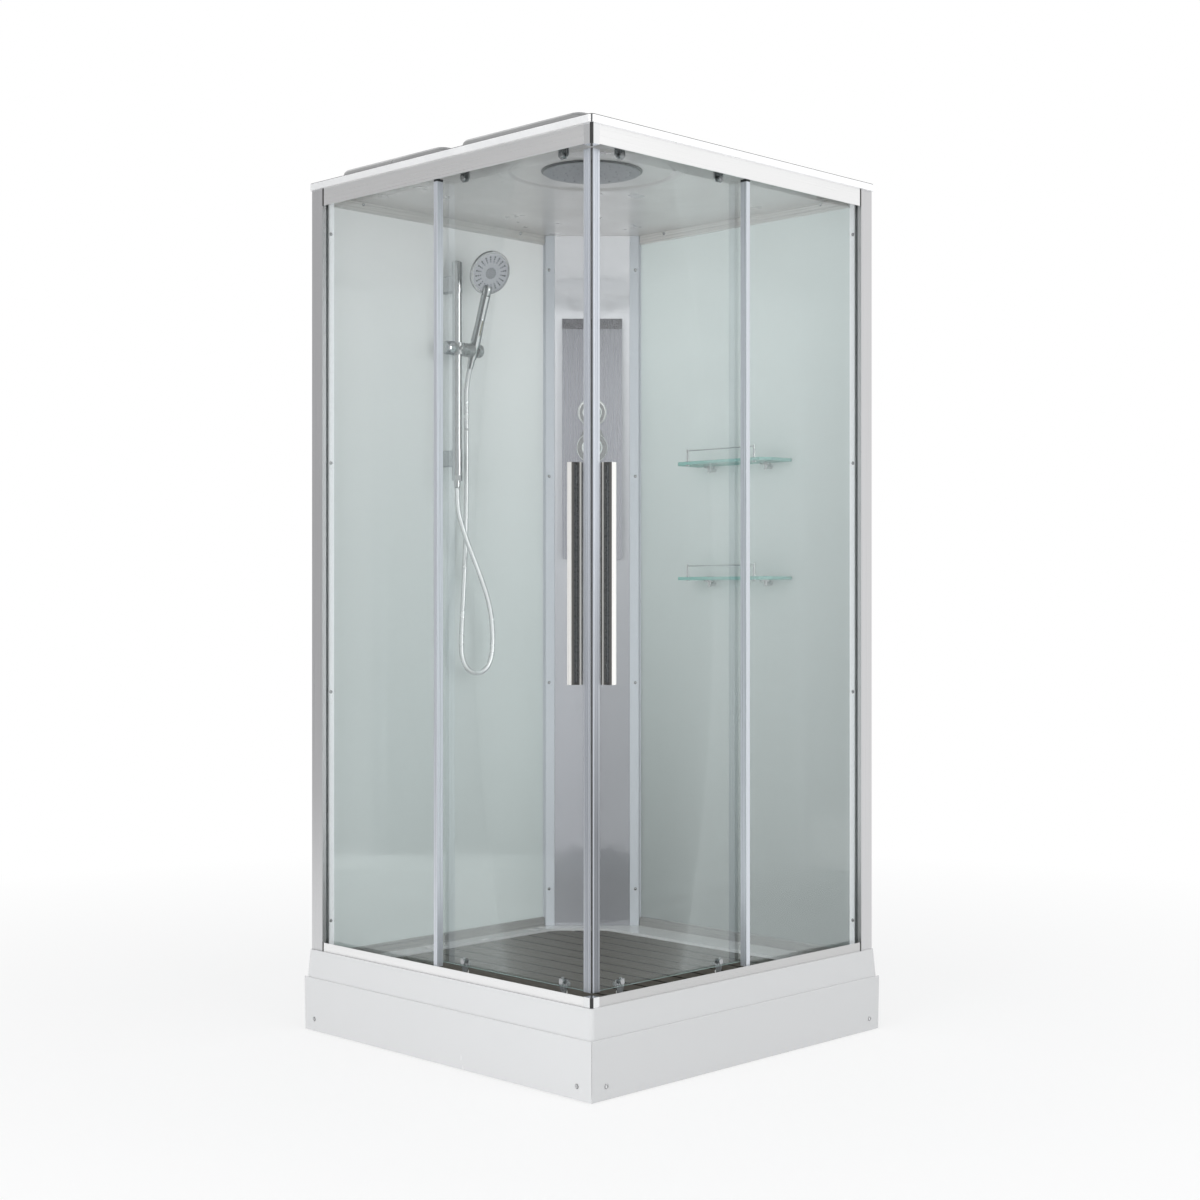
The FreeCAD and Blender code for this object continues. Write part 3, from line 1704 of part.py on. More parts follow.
def make_riser_brackets():
    """Two wall arms with their collars, and the outlet that the hose screws on to."""
    origin = wall_point(rail_v, rail_t)
    pieces = []
    face = wall_glass_plane + wall_glass_thickness
    spans = ((rail_bottom, collar_low_top), (collar_high_bottom, rail_top))
    for height, span in zip(bracket_heights, spans):
        low, high = height - bracket_half_height, height + bracket_half_height
        arm = wall_box(rail_v - bracket_half_width, rail_v + bracket_half_width, face, rail_t, low,
                       high)
        edges = [e for e in arm.Edges if abs(e.Length - (rail_t - face)) < shaft_gap]
        arm = arm.makeFillet(bracket_round, edges)
        seat = cylinder(origin + UP * (low - overrun), UP, rail_radius + shaft_gap,
                        high - low + 2 * overrun)
        start = wall_point(rail_v, wall_profile_back, height)
        bolt = cylinder(start, V(1, 0, 0), glass_hole_radius - shaft_gap,
                        face - wall_profile_back)
        nut = cylinder(start, V(1, 0, 0), glass_hole_radius * 2,
                       wall_glass_plane - wall_profile_back)
        collar = rail_collar(span[0], span[1], span[1] == rail_top)
        pieces.append(fuse([arm.cut(seat), collar, bolt, nut]))
    nut_low = rail_bottom - outlet_nut_height
    nut = hexagon(origin + UP * nut_low, outlet_nut_width, outlet_nut_height)
    plug = cylinder(origin + UP * rail_bottom, UP, outlet_plug_radius, outlet_plug_length)
    cone = Part.makeCone(outlet_cone_radius * 0.9, outlet_cone_radius, outlet_cone_height,
                         origin + UP * (nut_low - outlet_cone_height), UP)
    pieces.append(fuse([nut, plug, cone]))
    return Part.makeCompound(pieces)


def slider_centre(v):
    return wall_point(v, rail_t, slider_height)


def make_slider():
    along = V(0, 1, 0)
    barrel = cylinder(slider_centre(slider_left), along, slider_radius, slider_right - slider_left)
    rail_axis = wall_point(rail_v, rail_t, slider_height - slider_sleeve_half)
    sleeve = cylinder(rail_axis, UP, slider_sleeve_radius, 2 * slider_sleeve_half)
    dome_seat = slider_centre(rail_v) + V(slider_sleeve_radius - shaft_gap, 0, 0)
    dome = revolve([(0, -slider_dome_height), (slider_dome_radius, -slider_dome_height),
                    (slider_dome_radius, slider_dome_height * 0.4),
                    (slider_dome_radius * 0.6, slider_dome_height * 0.85),
                    (0, slider_dome_height)], dome_seat, V(1, 0, 0))
    bore = cylinder(rail_axis - UP * overrun, UP, rail_radius + shaft_gap,
                    2 * slider_sleeve_half + 2 * overrun)
    knob_hole = cylinder(slider_centre(slider_left - overrun), along,
                         knob_stem_radius + shaft_gap, overrun + knob_stem_length + seat_gap)
    stem_hole = cylinder(slider_centre(slider_right + overrun), -along,
                         cradle_stem_radius + shaft_gap, overrun + cradle_stem_length + seat_gap)
    slider = fuse([barrel, sleeve, dome]).cut([bore, knob_hole, stem_hole])
    solids = sorted(slider.Solids, key=lambda s: -s.Volume)
    return solids[0]


def make_clamp_knob():
    end = slider_left - seat_gap
    length = end - knob_left
    outline = [
        (0, -knob_stem_length),
        (knob_stem_radius, -knob_stem_length),
        (knob_stem_radius, 0),
        (slider_radius, 0),
        (slider_radius, length - knob_dome),
        (slider_radius * 0.93, length - knob_dome * 0.55),
        (slider_radius * 0.76, length - knob_dome * 0.2),
        (slider_radius * 0.45, length),
        (0, length),
    ]
    return revolve(outline, slider_centre(end), V(0, -1, 0))


def lean_axis():
    angle = math.radians(handset_lean)
    return V(math.sin(angle), 0, math.cos(angle))


def cradle_centre():
    return wall_point(cradle_v, rail_t, slider_height)


def make_cradle():
    """Tilting holder: a drum with a leaning conical seat, slotted at the front for the hose."""
    along = V(0, 1, 0)
    axis = lean_axis()
    start = slider_right + seat_gap
    stem = cylinder(slider_centre(start + shaft_gap), -along, cradle_stem_radius,
                    cradle_stem_length)
    length = cradle_right - start
    drum = revolve([(0, 0), (slider_radius, 0), (slider_radius, length - cradle_round),
                    (slider_radius - cradle_round * 0.3, length - cradle_round * 0.3),
                    (slider_radius - cradle_round, length), (0, length)],
                   slider_centre(start), along)
    half = cradle_half
    socket = revolve([(0, -2 * half), (socket_radius_low, -2 * half), (socket_radius_low, -half),
                      (socket_radius_high, half), (socket_radius_high, 2 * half), (0, 2 * half)],
                     cradle_centre(), axis)
    outward = along.cross(axis)
    corner = cradle_centre() - along * (cradle_slot / 2) - axis * (cradle_half * 2)
    points = [corner, corner + along * cradle_slot, corner + along * cradle_slot + outward * rail_t,
              corner + outward * rail_t]
    slot = polygon_face(points).extrude(axis * (cradle_half * 4))
    return fuse([drum, stem]).cut(socket.fuse(slot))


def head_centre():
    return cradle_centre() + lean_axis() * handset_reach


def face_axis():
    """Direction in which the hand shower's face looks."""
    angle = math.radians(face_tilt)
    straight = V(math.cos(angle), 0, -math.sin(angle))
    turn = FreeCAD.Rotation(lean_axis(), handset_spin)
    return turn.multVec(straight)


def make_handset():
    """Body with its tapered handle and round head, the end nut of the hose on the same axis."""
    axis = lean_axis()
    origin = cradle_centre()
    taper = (socket_radius_high - socket_radius_low) / (2 * cradle_half)
    low_radius = socket_radius_low + taper * (cradle_half - handset_low) - cone_gap
    high_radius = socket_radius_high + taper * (handset_low - cradle_half) - cone_gap
    outline = [
        (0, -handset_low),
        (low_radius, -handset_low),
        (high_radius, handset_low),
        (handle_radius_mid, handle_mid_reach),
        (handle_radius_neck, handle_neck_reach),
        (handle_radius_neck * 0.8, handset_reach),
        (0, handset_reach),
    ]
    handle = revolve(outline, origin, axis)
    centre, look = head_centre(), face_axis()
    recess = face_thickness + face_gap
    ring_back = selector_depth + seat_gap
    head = revolve([
        (0, -head_back_depth),
        (head_back_radius * 0.6, -head_back_depth),
        (head_back_radius, -head_back_depth * 0.9),
        (head_radius * head_waist_share, -head_depth),
        (head_radius, -head_depth * 0.5),
        (head_radius, -ring_back / 2),
        (head_radius * 0.97, 0),
        (face_radius + face_gap, 0),
        (face_radius + face_gap, -recess),
        (0, -recess),
    ], centre, look)
    trim = cylinder(centre - look * (head_depth * 0.5), look, head_radius, head_radius)
    handle = handle.cut(trim)
    body = fuse([head, handle.Solids[0]])
    plate = make_face_plate()
    nut = make_hose_nut()
    return Part.makeCompound([body, plate, nut])


def make_face_plate():
    centre, look = head_centre(), face_axis()
    outline = [
        (0, -face_thickness),
        (face_radius, -face_thickness),
        (face_radius, -face_gap),
        (face_radius * 0.9, face_gap * 4),
        (0, face_gap * 7),
    ]
    return revolve(outline, centre, look)


def make_hose_nut():
    axis = lean_axis()
    top = cradle_centre() - axis * handset_low
    outline = [
        (0, 0),
        (hose_nut_radius, 0),
        (hose_nut_radius, -hose_nut_length * 0.45),
        (hose_nut_tail_radius, -hose_nut_length),
        (0, -hose_nut_length),
    ]
    return revolve(outline, top, axis)


def make_spray_selector():
    """Thumb lug that turns on the head's back rim to change the spray."""
    centre, look = head_centre(), face_axis()
    gap = 2 * seat_gap
    back, front = -head_depth, -head_depth / 2
    lip = selector_depth / 3
    outline = [
        (head_radius * head_waist_share + gap, back),
        (head_radius + gap, front),
        (head_radius + gap + lip, front),
        (head_radius + gap + lip, back),
        (head_radius * head_waist_share + gap, back - lip),
    ]
    ring = revolve(outline, centre, look)
    side = look.cross(UP).normalize()
    raise_dir = side.cross(look).normalize()
    keep = []
    for sign in (-1, 1):
        degrees = selector_lug_angle + sign * selector_half_angle
        angle = math.radians(degrees)
        keep.append((side * math.cos(angle) + raise_dir * math.sin(angle)) * (head_radius * 2))
    wedge = polygon_face([centre, centre + keep[0], centre + keep[1]])
    wedge.translate(look * -(head_depth * 2))
    sector = wedge.extrude(look * (head_depth * 4))
    return ring.common(sector).Solids[0]


def hose_points():
    axis = lean_axis()
    end = cradle_centre() - axis * (handset_low + hose_nut_length)
    return [wall_point(v, t, z) for t, v, z in hose_route] + [end - axis * hose_end_run, end]


def make_hose():
    """Plain tube: straight runs joined by arcs that touch them."""
    points = hose_points()
    radius = hose_diameter / 2
    joins = []
    for before, here, after in zip(points, points[1:], points[2:]):
        back = before - here
        on = after - here
        turn = math.pi - back.getAngle(on)
        reach = hose_arc_share * min(back.Length, on.Length)
        arc_radius = reach / math.tan(turn / 2)
        back.normalize()
        on.normalize()
        half = (math.pi - turn) / 2
        depth = arc_radius / math.sin(half) - arc_radius
        middle = here + (back + on).normalize() * depth
        joins.append((here + back * reach, middle, here + on * reach, arc_radius))
    edges = []
    place = points[0]
    for start, middle, end, _ in joins:
        edges.append(Part.LineSegment(place, start).toShape())
        edges.append(Part.Arc(start, middle, end).toShape())
        place = end
    edges.append(Part.LineSegment(place, points[-1]).toShape())
    path = Part.Wire(edges)
    first = (points[1] - points[0]).normalize()
    section = Part.Wire([Part.makeCircle(radius, points[0], first)])
    tube = path.makePipeShell([section], True, False)
    if tube.Volume < 0:
        tube.reverse()
    print("hose radii", [round(j[3]) for j in joins])
    expected = math.pi * radius ** 2 * path.Length
    print("hose length", round(path.Length), "volume share", round(tube.Volume / expected, 4))
    return tube


# Shelves


def make_shelf_glass():
    shelves = []
    t0 = wall_glass_plane + wall_glass_thickness + shelf_wall_gap
    t1 = shelf_reach
    c = shelf_chamfer
    v0, v1 = shelf_start, shelf_end
    outline = [
        wall_point(v0, t0),
        wall_point(v1, t0),
        wall_point(v1, t1 - c),
        wall_point(v1 - c, t1),
        wall_point(v0 + c, t1),
        wall_point(v0, t1 - c),
    ]
    holes_at = [(p, support_t) for p in support_places] + [(p, gallery_t) for p in gallery_places]
    for height in shelf_heights:
        pane = prism(outline, height, height + shelf_thickness)
        holes = []
        for v, t in holes_at:
            start = wall_point(v, t, height - overrun)
            holes.append(cylinder(start, UP, gallery_post_radius, shelf_thickness + 2 * overrun))
        shelves.append(twin(pane.cut(holes)))
    return Part.makeCompound(shelves)


def make_shelf_galleries():
    rails = []
    for height in shelf_heights:
        top = height + shelf_thickness
        parts = []
        for v in gallery_places:
            foot = wall_point(v, gallery_t, height - gallery_foot_height)
            parts.append(cylinder(foot, UP, gallery_foot_radius, gallery_foot_height))
            length = gallery_foot_height + shelf_thickness + gallery_post_height
            parts.append(cylinder(foot, UP, gallery_post_radius - shaft_gap, length))
            cap = wall_point(v, gallery_t, top)
            parts.append(cylinder(cap, UP, gallery_foot_radius, gallery_foot_height))
        start = wall_point(gallery_places[0], gallery_t, top + gallery_wire_height)
        span = gallery_places[1] - gallery_places[0]
        parts.append(cylinder(start, V(0, 1, 0), gallery_wire_radius, span))
        rails.append(twin(fuse(parts)))
    return Part.makeCompound(rails)


def make_shelf_supports():
    supports = []
    face = wall_glass_plane + wall_glass_thickness
    for height in shelf_heights:
        for v in support_places:
            axis_low = height - support_disc_height
            disc = cylinder(wall_point(v, support_t, axis_low), UP, support_disc_radius,
                            support_disc_height)
            arm_height = height - support_arm_drop
            arm = cylinder(wall_point(v, face, arm_height), V(1, 0, 0), support_arm_radius,
                           support_t - face)
            bolt = cylinder(wall_point(v, wall_profile_back, arm_height), V(1, 0, 0),
                            glass_hole_radius - shaft_gap, face - wall_profile_back)
            nut = cylinder(wall_point(v, wall_profile_back, arm_height), V(1, 0, 0),
                           glass_hole_radius * 2, wall_glass_plane - wall_profile_back)
            low = arm_height - support_arm_radius - support_cap_height
            screw_end = height + shelf_thickness + support_cap_height
            pin = cylinder(wall_point(v, support_t, low), UP, gallery_post_radius - shaft_gap,
                           screw_end - low)
            knob = cylinder(wall_point(v, support_t, low), UP, support_screw_radius,
                            axis_low - low)
            cap = cylinder(wall_point(v, support_t, height + shelf_thickness), UP,
                           support_cap_radius, support_cap_height)
            supports.append(twin(fuse([disc, arm, bolt, nut, pin, knob, cap])))
    return Part.makeCompound(supports)


# All pieces by name


def door_pieces():
    """Pieces of the two doors: the left one as drawn, the right one as its mirror image."""
    pieces = {
        "door_glass": make_door_glass(),
        "door_profile": make_door_profile(),
        "door_seal": make_door_seal(),
        "door_handle": make_handle(),
        "handle_insert": make_handle_insert(),
        "roller_brackets": make_roller_brackets(),
    }
    for number, place in enumerate(roller_places, 1):
        pieces["top_wheel_%d" % number] = make_wheel(
            place, top_axle_height, top_wheel_radius, top_wheel_front, top_wheel_width,
            top_axle_radius)
        pieces["bottom_wheel_%d" % number] = make_wheel(
            place, bottom_axle_height, bottom_wheel_radius, bottom_wheel_front,
            bottom_wheel_width, bottom_axle_radius)
        pieces["release_button_%d" % number] = make_release_button(place)
    both = {}
    for name, shape in pieces.items():
        both[name + "_left"] = shape
        both[name + "_right"] = twin(shape)
    return both


def all_pieces():
    pieces = {
        "tray": make_tray(),
        "apron_panels": make_aprons(),
        "apron_screw_caps": make_apron_screw_caps(),
        "tray_frame": make_tray_frame(),
        "levelling_feet": make_levelling_feet(),
        "waste_trap": make_waste_trap(),
        "waste_cover": make_waste_cover(),
        "deck_slats": make_deck_slats(),
        "deck_battens": make_deck_battens(),
        "end_posts": make_posts(),
        "top_rails": make_rails(top_rail_section()),
        "bottom_rails": make_rails(bottom_rail_section()),
        "corner_blocks": make_corner_blocks(),
        "fixed_glass": make_fixed_glass(),
        "edge_strips": make_edge_strips(),
        "back_glass": make_back_glass(),
        "wall_profiles": Part.makeCompound([make_wall_stiles(), make_column_trims()]),
        "wall_bars": make_wall_bars(),
        "column_panel": make_column_panel(),
        "cover_screws": make_cover_screws(),
        "control_panel": make_control_panel(),
        "mixer_valve": make_mixer(),
        "diverter_control": make_diverter_control(),
        "mixer_control": make_mixer_control(),
        "roof": make_roof(),
        "overhead_shower": make_overhead_shower(),
        "riser_rail": make_riser_rail(),
        "riser_brackets": make_riser_brackets(),
        "slider": make_slider(),
        "clamp_knob": make_clamp_knob(),
        "cradle": make_cradle(),
        "hand_shower": make_handset(),
        "spray_selector": make_spray_selector(),
        "hose": make_hose(),
        "shelf_glass": make_shelf_glass(),
        "shelf_fittings": Part.makeCompound([make_shelf_galleries(), make_shelf_supports()]),
    }
    pieces.update(door_pieces())
    return pieces


def main():
    os.makedirs("parts", exist_ok=True)
    pieces = all_pieces()
    for name, shape in pieces.items():
        shape.exportStep(os.path.join("parts", name + ".step"))
    print(len(pieces), "pieces")


main()
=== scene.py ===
import math

import bpy
from bpy.props import FloatProperty, FloatVectorProperty, IntProperty, PointerProperty
from mathutils import Matrix, Vector


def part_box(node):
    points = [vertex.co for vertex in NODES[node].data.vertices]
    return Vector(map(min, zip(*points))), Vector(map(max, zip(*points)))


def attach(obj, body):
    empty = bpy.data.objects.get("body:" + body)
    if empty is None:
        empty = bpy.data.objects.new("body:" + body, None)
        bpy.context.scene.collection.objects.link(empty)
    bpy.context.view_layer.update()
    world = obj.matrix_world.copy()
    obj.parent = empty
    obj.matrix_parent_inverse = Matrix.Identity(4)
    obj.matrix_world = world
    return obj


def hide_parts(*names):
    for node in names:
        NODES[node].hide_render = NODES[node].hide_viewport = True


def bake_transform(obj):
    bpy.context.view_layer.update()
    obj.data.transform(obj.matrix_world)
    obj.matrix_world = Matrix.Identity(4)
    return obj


bl_info = {
    "name": "Corner shower enclosure",
    "version": (1, 0, 0),
    "blender": (4, 5, 0),
    "location": "3D View > Sidebar > Enclosure",
    "description": "Finishes, hose, shower faces and stage of a corner entry shower enclosure",
    "category": "Object",
}

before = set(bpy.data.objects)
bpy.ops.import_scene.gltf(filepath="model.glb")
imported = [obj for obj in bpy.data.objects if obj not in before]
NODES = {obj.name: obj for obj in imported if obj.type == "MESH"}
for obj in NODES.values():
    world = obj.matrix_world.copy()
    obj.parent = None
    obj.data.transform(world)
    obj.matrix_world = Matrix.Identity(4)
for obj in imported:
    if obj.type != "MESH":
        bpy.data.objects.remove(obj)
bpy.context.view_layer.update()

# Route of the hose from its outlet, in metres, as in the part's source.
HOSE_ROUTE = (
    (-0.4120, -0.0810, 1.3460),
    (-0.4120, -0.0810, 1.3020),
    (-0.4090, -0.0720, 1.2580),
    (-0.4030, -0.0510, 1.2000),
    (-0.4000, -0.0110, 1.1180),
    (-0.4020, 0.0210, 1.0500),
    (-0.4050, 0.0350, 0.9900),
    (-0.4075, 0.0390, 0.9400),
    (-0.4090, 0.0345, 0.9010),
    (-0.4105, 0.0170, 0.8730),
    (-0.4120, -0.0140, 0.8630),
    (-0.4135, -0.0445, 0.8740),
    (-0.4155, -0.0620, 0.9050),
    (-0.4180, -0.0615, 0.9480),
    (-0.4210, -0.0560, 1.0050),
    (-0.4280, -0.0440, 1.0950),
    (-0.4350, -0.0320, 1.2040),
    (-0.4400, -0.0250, 1.3300),
    (-0.4430, -0.0215, 1.4500),
    (-0.4435, -0.0220, 1.5600),
    (-0.44165, -0.0240, 1.61791),
    (-0.42715, -0.0240, 1.66051),
)

# Hand shower at rest: its pivot, the way its handle leans and the way its face looks
TILT_CENTRE = Vector((-0.412, -0.024, 1.705))
LEAN_ANGLE = math.radians(18.8)
FACE_TURN = math.radians(-9)
FACE_TILT = math.radians(24)
LEAN = Vector((math.sin(LEAN_ANGLE), 0, math.cos(LEAN_ANGLE)))
HEAD_REACH = 0.205
HEAD_CENTRE = TILT_CENTRE + LEAN * HEAD_REACH
FACE_AHEAD = Vector((math.cos(FACE_TILT), 0, -math.sin(FACE_TILT)))
HEAD_LOOK = Matrix.Rotation(FACE_TURN, 3, LEAN) @ FACE_AHEAD
HEAD_SIDE = LEAN.cross(HEAD_LOOK).normalized()
HEAD_UP = (LEAN - HEAD_LOOK * LEAN.dot(HEAD_LOOK)).normalized()
HEAD_ACROSS = HEAD_UP.cross(HEAD_LOOK)
SHOWER_PLACE = 0.189

# Places of lines, tones, painted shadows and painted shade on the solids, in metres
LIP_EDGE = 2.0778
LIP_HEIGHT = 0.0026
LIP_CORNER = 0.9797
LINER_TOP = 2.0615
RAIL_END = 0.4395
STRIP_PLUG = 2.0165
GROOVE_LINE = 0.4240
GROOVE_HALF = 0.0015
RIB_LINE = 0.4712
RIB_HALF = 0.0012
RIB_SHADOWS = (0.4694, 0.4730)
CORNER_STRIP = 0.9700
SEAL_HALF = 0.0034
WALL_FOOT = 0.2
WALL_HEAD = 2.05
SLAT_START = 0.4395
SLAT_PITCH = 0.06718
FACE_RADIUS = 0.0512
HEAD_EDGE = 0.058
GRIP_RANGE = (-0.180, -0.062)

# Hand shower: radii of the nozzle rings, counts and radii of the middle rings, and the
# width, length, depth and corner of the bezel and the inlay with their height over the axis
NOZZLE_RINGS = (0.031, 0.037, 0.043)
MIDDLE_RINGS = ((1, 0.0), (6, 0.0048), (12, 0.0092), (16, 0.0132))
NOZZLE = ((0.0021, 0.0), (0.0017, 0.0014), (0.0010, 0.0014), (0.0008, 0.0007))
BEZEL = (0.0072, 0.052, 0.0016, 0.0034)
BEZEL_HEIGHT = 0.0106
INLAY = (0.0046, 0.047, 0.0012, 0.0021)
INLAY_HEIGHT = 0.0114

# Stage: where lamps and cards look, and the cards by name, place, width, height and tone
AIM = Vector((0, 0, 1.0))
CARDS = (
    ("left card", (-2.6, -2.7, 1.3), 4.6, 4.2, 0.50),
    ("top card", (0.0, 0.0, 4.6), 3.4, 3.4, 0.25),
)
# Lamps by name, place, width, height and power. Only the strip shows in the metal.
LAMPS = (
    ("key", (0.8, -5.3, 1.9), 3.0, 3.0, 100.0),
    ("fill", (5.3, -0.4, 1.9), 3.0, 3.0, 50.0),
    ("strip", (5.2, 1.0, 1.5), 1.5, 3.0, 40.0),
)
# Colour and strength of the room where it only lights, and where it is seen or mirrored
ROOM_LIGHT = ((0.96, 0.98, 1.0), 0.75)
ROOM_SEEN = ((1.0, 1.0, 1.0), 1.0)


# Shader building


class Wire:
    """A shader value that works in Python expressions."""

    def __init__(self, finish, socket):
        self.finish = finish
        self.socket = socket

    def _math(self, operation, *values):
        return self.finish.add("ShaderNodeMath", values, operation=operation)

    def __add__(self, other):
        return self._math("ADD", self, other)

    def __sub__(self, other):
        return self._math("SUBTRACT", self, other)

    def __mul__(self, other):
        return self._math("MULTIPLY", self, other)

    def __pow__(self, other):
        return self._math("POWER", self, other)

    def __radd__(self, other):
        return self._math("ADD", other, self)

    def __rsub__(self, other):
        return self._math("SUBTRACT", other, self)

    def __lt__(self, other):
        return self._math("LESS_THAN", self, other)

    def __gt__(self, other):
        return self._math("GREATER_THAN", self, other)

    def __abs__(self):
        return self._math("ABSOLUTE", self)

    def sine(self):
        return self._math("SINE", self)

    def fraction(self):
        return self._math("FRACT", self)

    def __neg__(self):
        return self._math("MULTIPLY", self, -1.0)

    def clamped(self):
        return self.finish.add("ShaderNodeClamp", {"Value": self})


class Finish:
    """One node material in the making."""

    def __init__(self, name):
        self.material = bpy.data.materials.new(name)
        self.material.use_nodes = True
        self.tree = self.material.node_tree
        self.tree.nodes.clear()
        self.output = self.tree.nodes.new("ShaderNodeOutputMaterial")
        self._place = None

    def add(self, kind, values=(), out=0, **settings):
        """Add a node: settings first, then the values or links of its sockets."""
        node = self.tree.nodes.new(kind)
        for key, value in settings.items():
            setattr(node, key, value)
        pairs = values.items() if isinstance(values, dict) else enumerate(values)
        for key, value in pairs:
            socket = node.inputs[key]
            if isinstance(value, Wire):
                self.tree.links.new(value.socket, socket)
            else:
                socket.default_value = value
        return Wire(self, node.outputs[out])

    def place(self):
        if self._place is None:
            self._place = self.add("ShaderNodeTexCoord", out="Object")
        return self._place

    def axes(self):
        node = self.add("ShaderNodeSeparateXYZ", {"Vector": self.place()}).socket.node
        return [Wire(self, s) for s in node.outputs]

    def dot(self, vector, direction):
        values = {0: vector, 1: direction}
        return self.add("ShaderNodeVectorMath", values, out="Value", operation="DOT_PRODUCT")

    def mapped(self, scale):
        return self.add("ShaderNodeMapping", {"Vector": self.place(), "Scale": scale})

    def noise(self, scale, detail=2.0, vector=None, roughness=0.5):
        values = {
            "Vector": vector or self.place(),
            "Scale": scale,
            "Detail": detail,
            "Roughness": roughness,
        }
        return self.add("ShaderNodeTexNoise", values, out="Fac")

    def span(self, value, low, high, to_low=0.0, to_high=1.0):
        """Map a value from one range to another, held at both ends."""
        values = (value, low, high, to_low, to_high)
        return self.add("ShaderNodeMapRange", values, clamp=True)

    def mix(self, share, first, second):
        node = self.tree.nodes.new("ShaderNodeMix")
        node.data_type = "RGBA"
        for index, value in ((0, share), (6, first), (7, second)):
            if isinstance(value, Wire):
                self.tree.links.new(value.socket, node.inputs[index])
            else:
                node.inputs[index].default_value = (*value, 1) if index else value
        return Wire(self, node.outputs[2])

    def ramp(self, value, stops):
        """Grey tone along a value from 0 to 1, by pairs of place and tone."""
        node = self.tree.nodes.new("ShaderNodeValToRGB")
        self.tree.links.new(value.socket, node.inputs["Fac"])
        elements = node.color_ramp.elements
        for element, (place, tone) in zip(elements, (stops[0], stops[-1])):
            element.position = place
            element.color = (tone, tone, tone, 1)
        for place, tone in stops[1:-1]:
            elements.new(place).color = (tone, tone, tone, 1)
        return Wire(self, node.outputs["Color"])

    def bump(self, height, strength=0.2, distance=0.001):
        values = {"Height": height, "Strength": strength, "Distance": distance}
        return self.add("ShaderNodeBump", values)

    def normal(self, kind="True Normal"):
        node = self.add("ShaderNodeNewGeometry", out=kind)
        parts = self.add("ShaderNodeSeparateXYZ", {"Vector": node}).socket.node
        return [Wire(self, s) for s in parts.outputs]

    def surface(self, **values):
        """The main shader; names follow its sockets with underscores for spaces."""
        named = {}
        for key, value in values.items():
            name = key.replace("_", " ").title().replace("Ior", "IOR")
            if name.endswith(("Color", "Tint")) and not isinstance(value, Wire):
                value = (*value, 1)
            named[name] = value
        return self.add("ShaderNodeBsdfPrincipled", named)

    def done(self, shader):
        self.tree.links.new(shader.socket, self.output.inputs["Surface"])
        return self.material


def shade(colour, share):
    return tuple(min(1.0, c * share) for c in colour)


def acrylic(name, colour, roughness=0.2, metallic=0.0, lines=None, under=None):
    """Glossy sheet acrylic with faint ripples and wiped marks.

    Lines says where painted shade and painted shadow darken it, and under is the colour of the
    ceiling below the roof, a painted shade of the roof's colour.
    Without lines its faces to the right are a little deeper, a painted shade.
    """
    f = Finish(name)
    patches = f.noise(2.2, 3.0)
    wipes = f.noise(9.0, 5.0, f.mapped((1, 1, 0.35)))
    base = f.mix(patches, shade(colour, 0.975), shade(colour, 1.02))
    if under:
        # Painted shade: the ceiling under the roof takes a darker, warmer colour
        base = f.mix(f.axes()[2] > LINER_TOP, under, base)
    if lines:
        # Painted shade and painted shadow where the lines say
        base = f.mix(lines(f), base, shade(colour, 0.12))
    else:
        # Painted shade on the faces that look to the right
        base = f.mix(f.normal()[0].clamped(), base, shade(colour, 0.80))
    ripple = f.noise(55.0, 2.0)
    shader = f.surface(
        base_color=base,
        metallic=metallic,
        roughness=f.span(wipes, 0.3, 0.7, roughness * 0.7, roughness * 1.5),
        normal=f.bump(ripple, 0.05, 0.0006),
        coat_weight=0.4,
        coat_roughness=0.08,
    )
    return f.done(shader)


def drawn_metal(name, colour, along, roughness=0.34, metallic=1.0, streak=0.05, joint=None):
    """Drawn aluminium with fine die lines along its length, darkened where its mask says: dark
    gaskets at joints, and painted shade.
    """
    f = Finish(name)
    scale = [900.0, 900.0, 900.0]
    for axis in along:
        scale[axis] = 1.6
    lines = f.noise(1.0, 4.0, f.mapped(tuple(scale)), 0.6)
    cloud = f.noise(3.0, 3.0)
    base = f.mix(lines, shade(colour, 1 - streak), shade(colour, 1 + streak * 0.5))
    base = f.mix(f.span(cloud, 0.3, 0.7, 0.0, 0.25), base, shade(colour, 0.9))
    # The mask marks dark gaskets at joints and painted shade
    if joint:
        base = f.mix(joint(f), base, shade(colour, 0.08))
    rough = f.span(lines, 0.3, 0.7, roughness * 0.8, roughness * 1.2)
    shader = f.surface(
        base_color=base,
        metallic=metallic,
        roughness=rough,
        normal=f.bump(lines, 0.04, 0.0002),
    )
    return f.done(shader)


def lip_lines(f):
    """Painted shadow along the top edge of the roof lip, and a dark line down its front corner."""
    x, y, z = f.axes()
    side = f.normal()[2] < 0.95
    edge = (z > LIP_EDGE) * (z < LIP_EDGE + LIP_HEIGHT)
    return (edge + (x - y > LIP_CORNER)).clamped() * side


def pad_sides(f):
    """Painted shade on the sides of the roof pads."""
    return f.span(f.normal()[2], 0.95, 0.6) * 0.79


def rail_joint(f):
    """Ends of the rails beside the posts."""
    x, y, _ = f.axes()
    return f.add("ShaderNodeMath", (x, -y), operation="MINIMUM") < -RAIL_END


def profile_foot(f):
    """Shade that deepens towards the foot of the door profiles, more on the right door."""
    x, y, z = f.axes()
    right = f.span(x + y, -0.002, 0.002)
    return f.span(z, 1.25, 0.55) * (0.34 + right * 0.28)


def post_shade(f):
    """Painted shade on the faces of the posts that look to the right."""
    return f.normal()[0].clamped() * 0.14


def foot_rail(f):
    """Gaskets of the bottom rails, and painted shade on the right one."""
    return (rail_joint(f) + f.normal()[0].clamped() * 0.42).clamped()


def bar_foot(f):
    """Painted shade on the bars along the foot of the walls."""
    return f.span(f.axes()[2], 0.6, 0.5) * 0.6


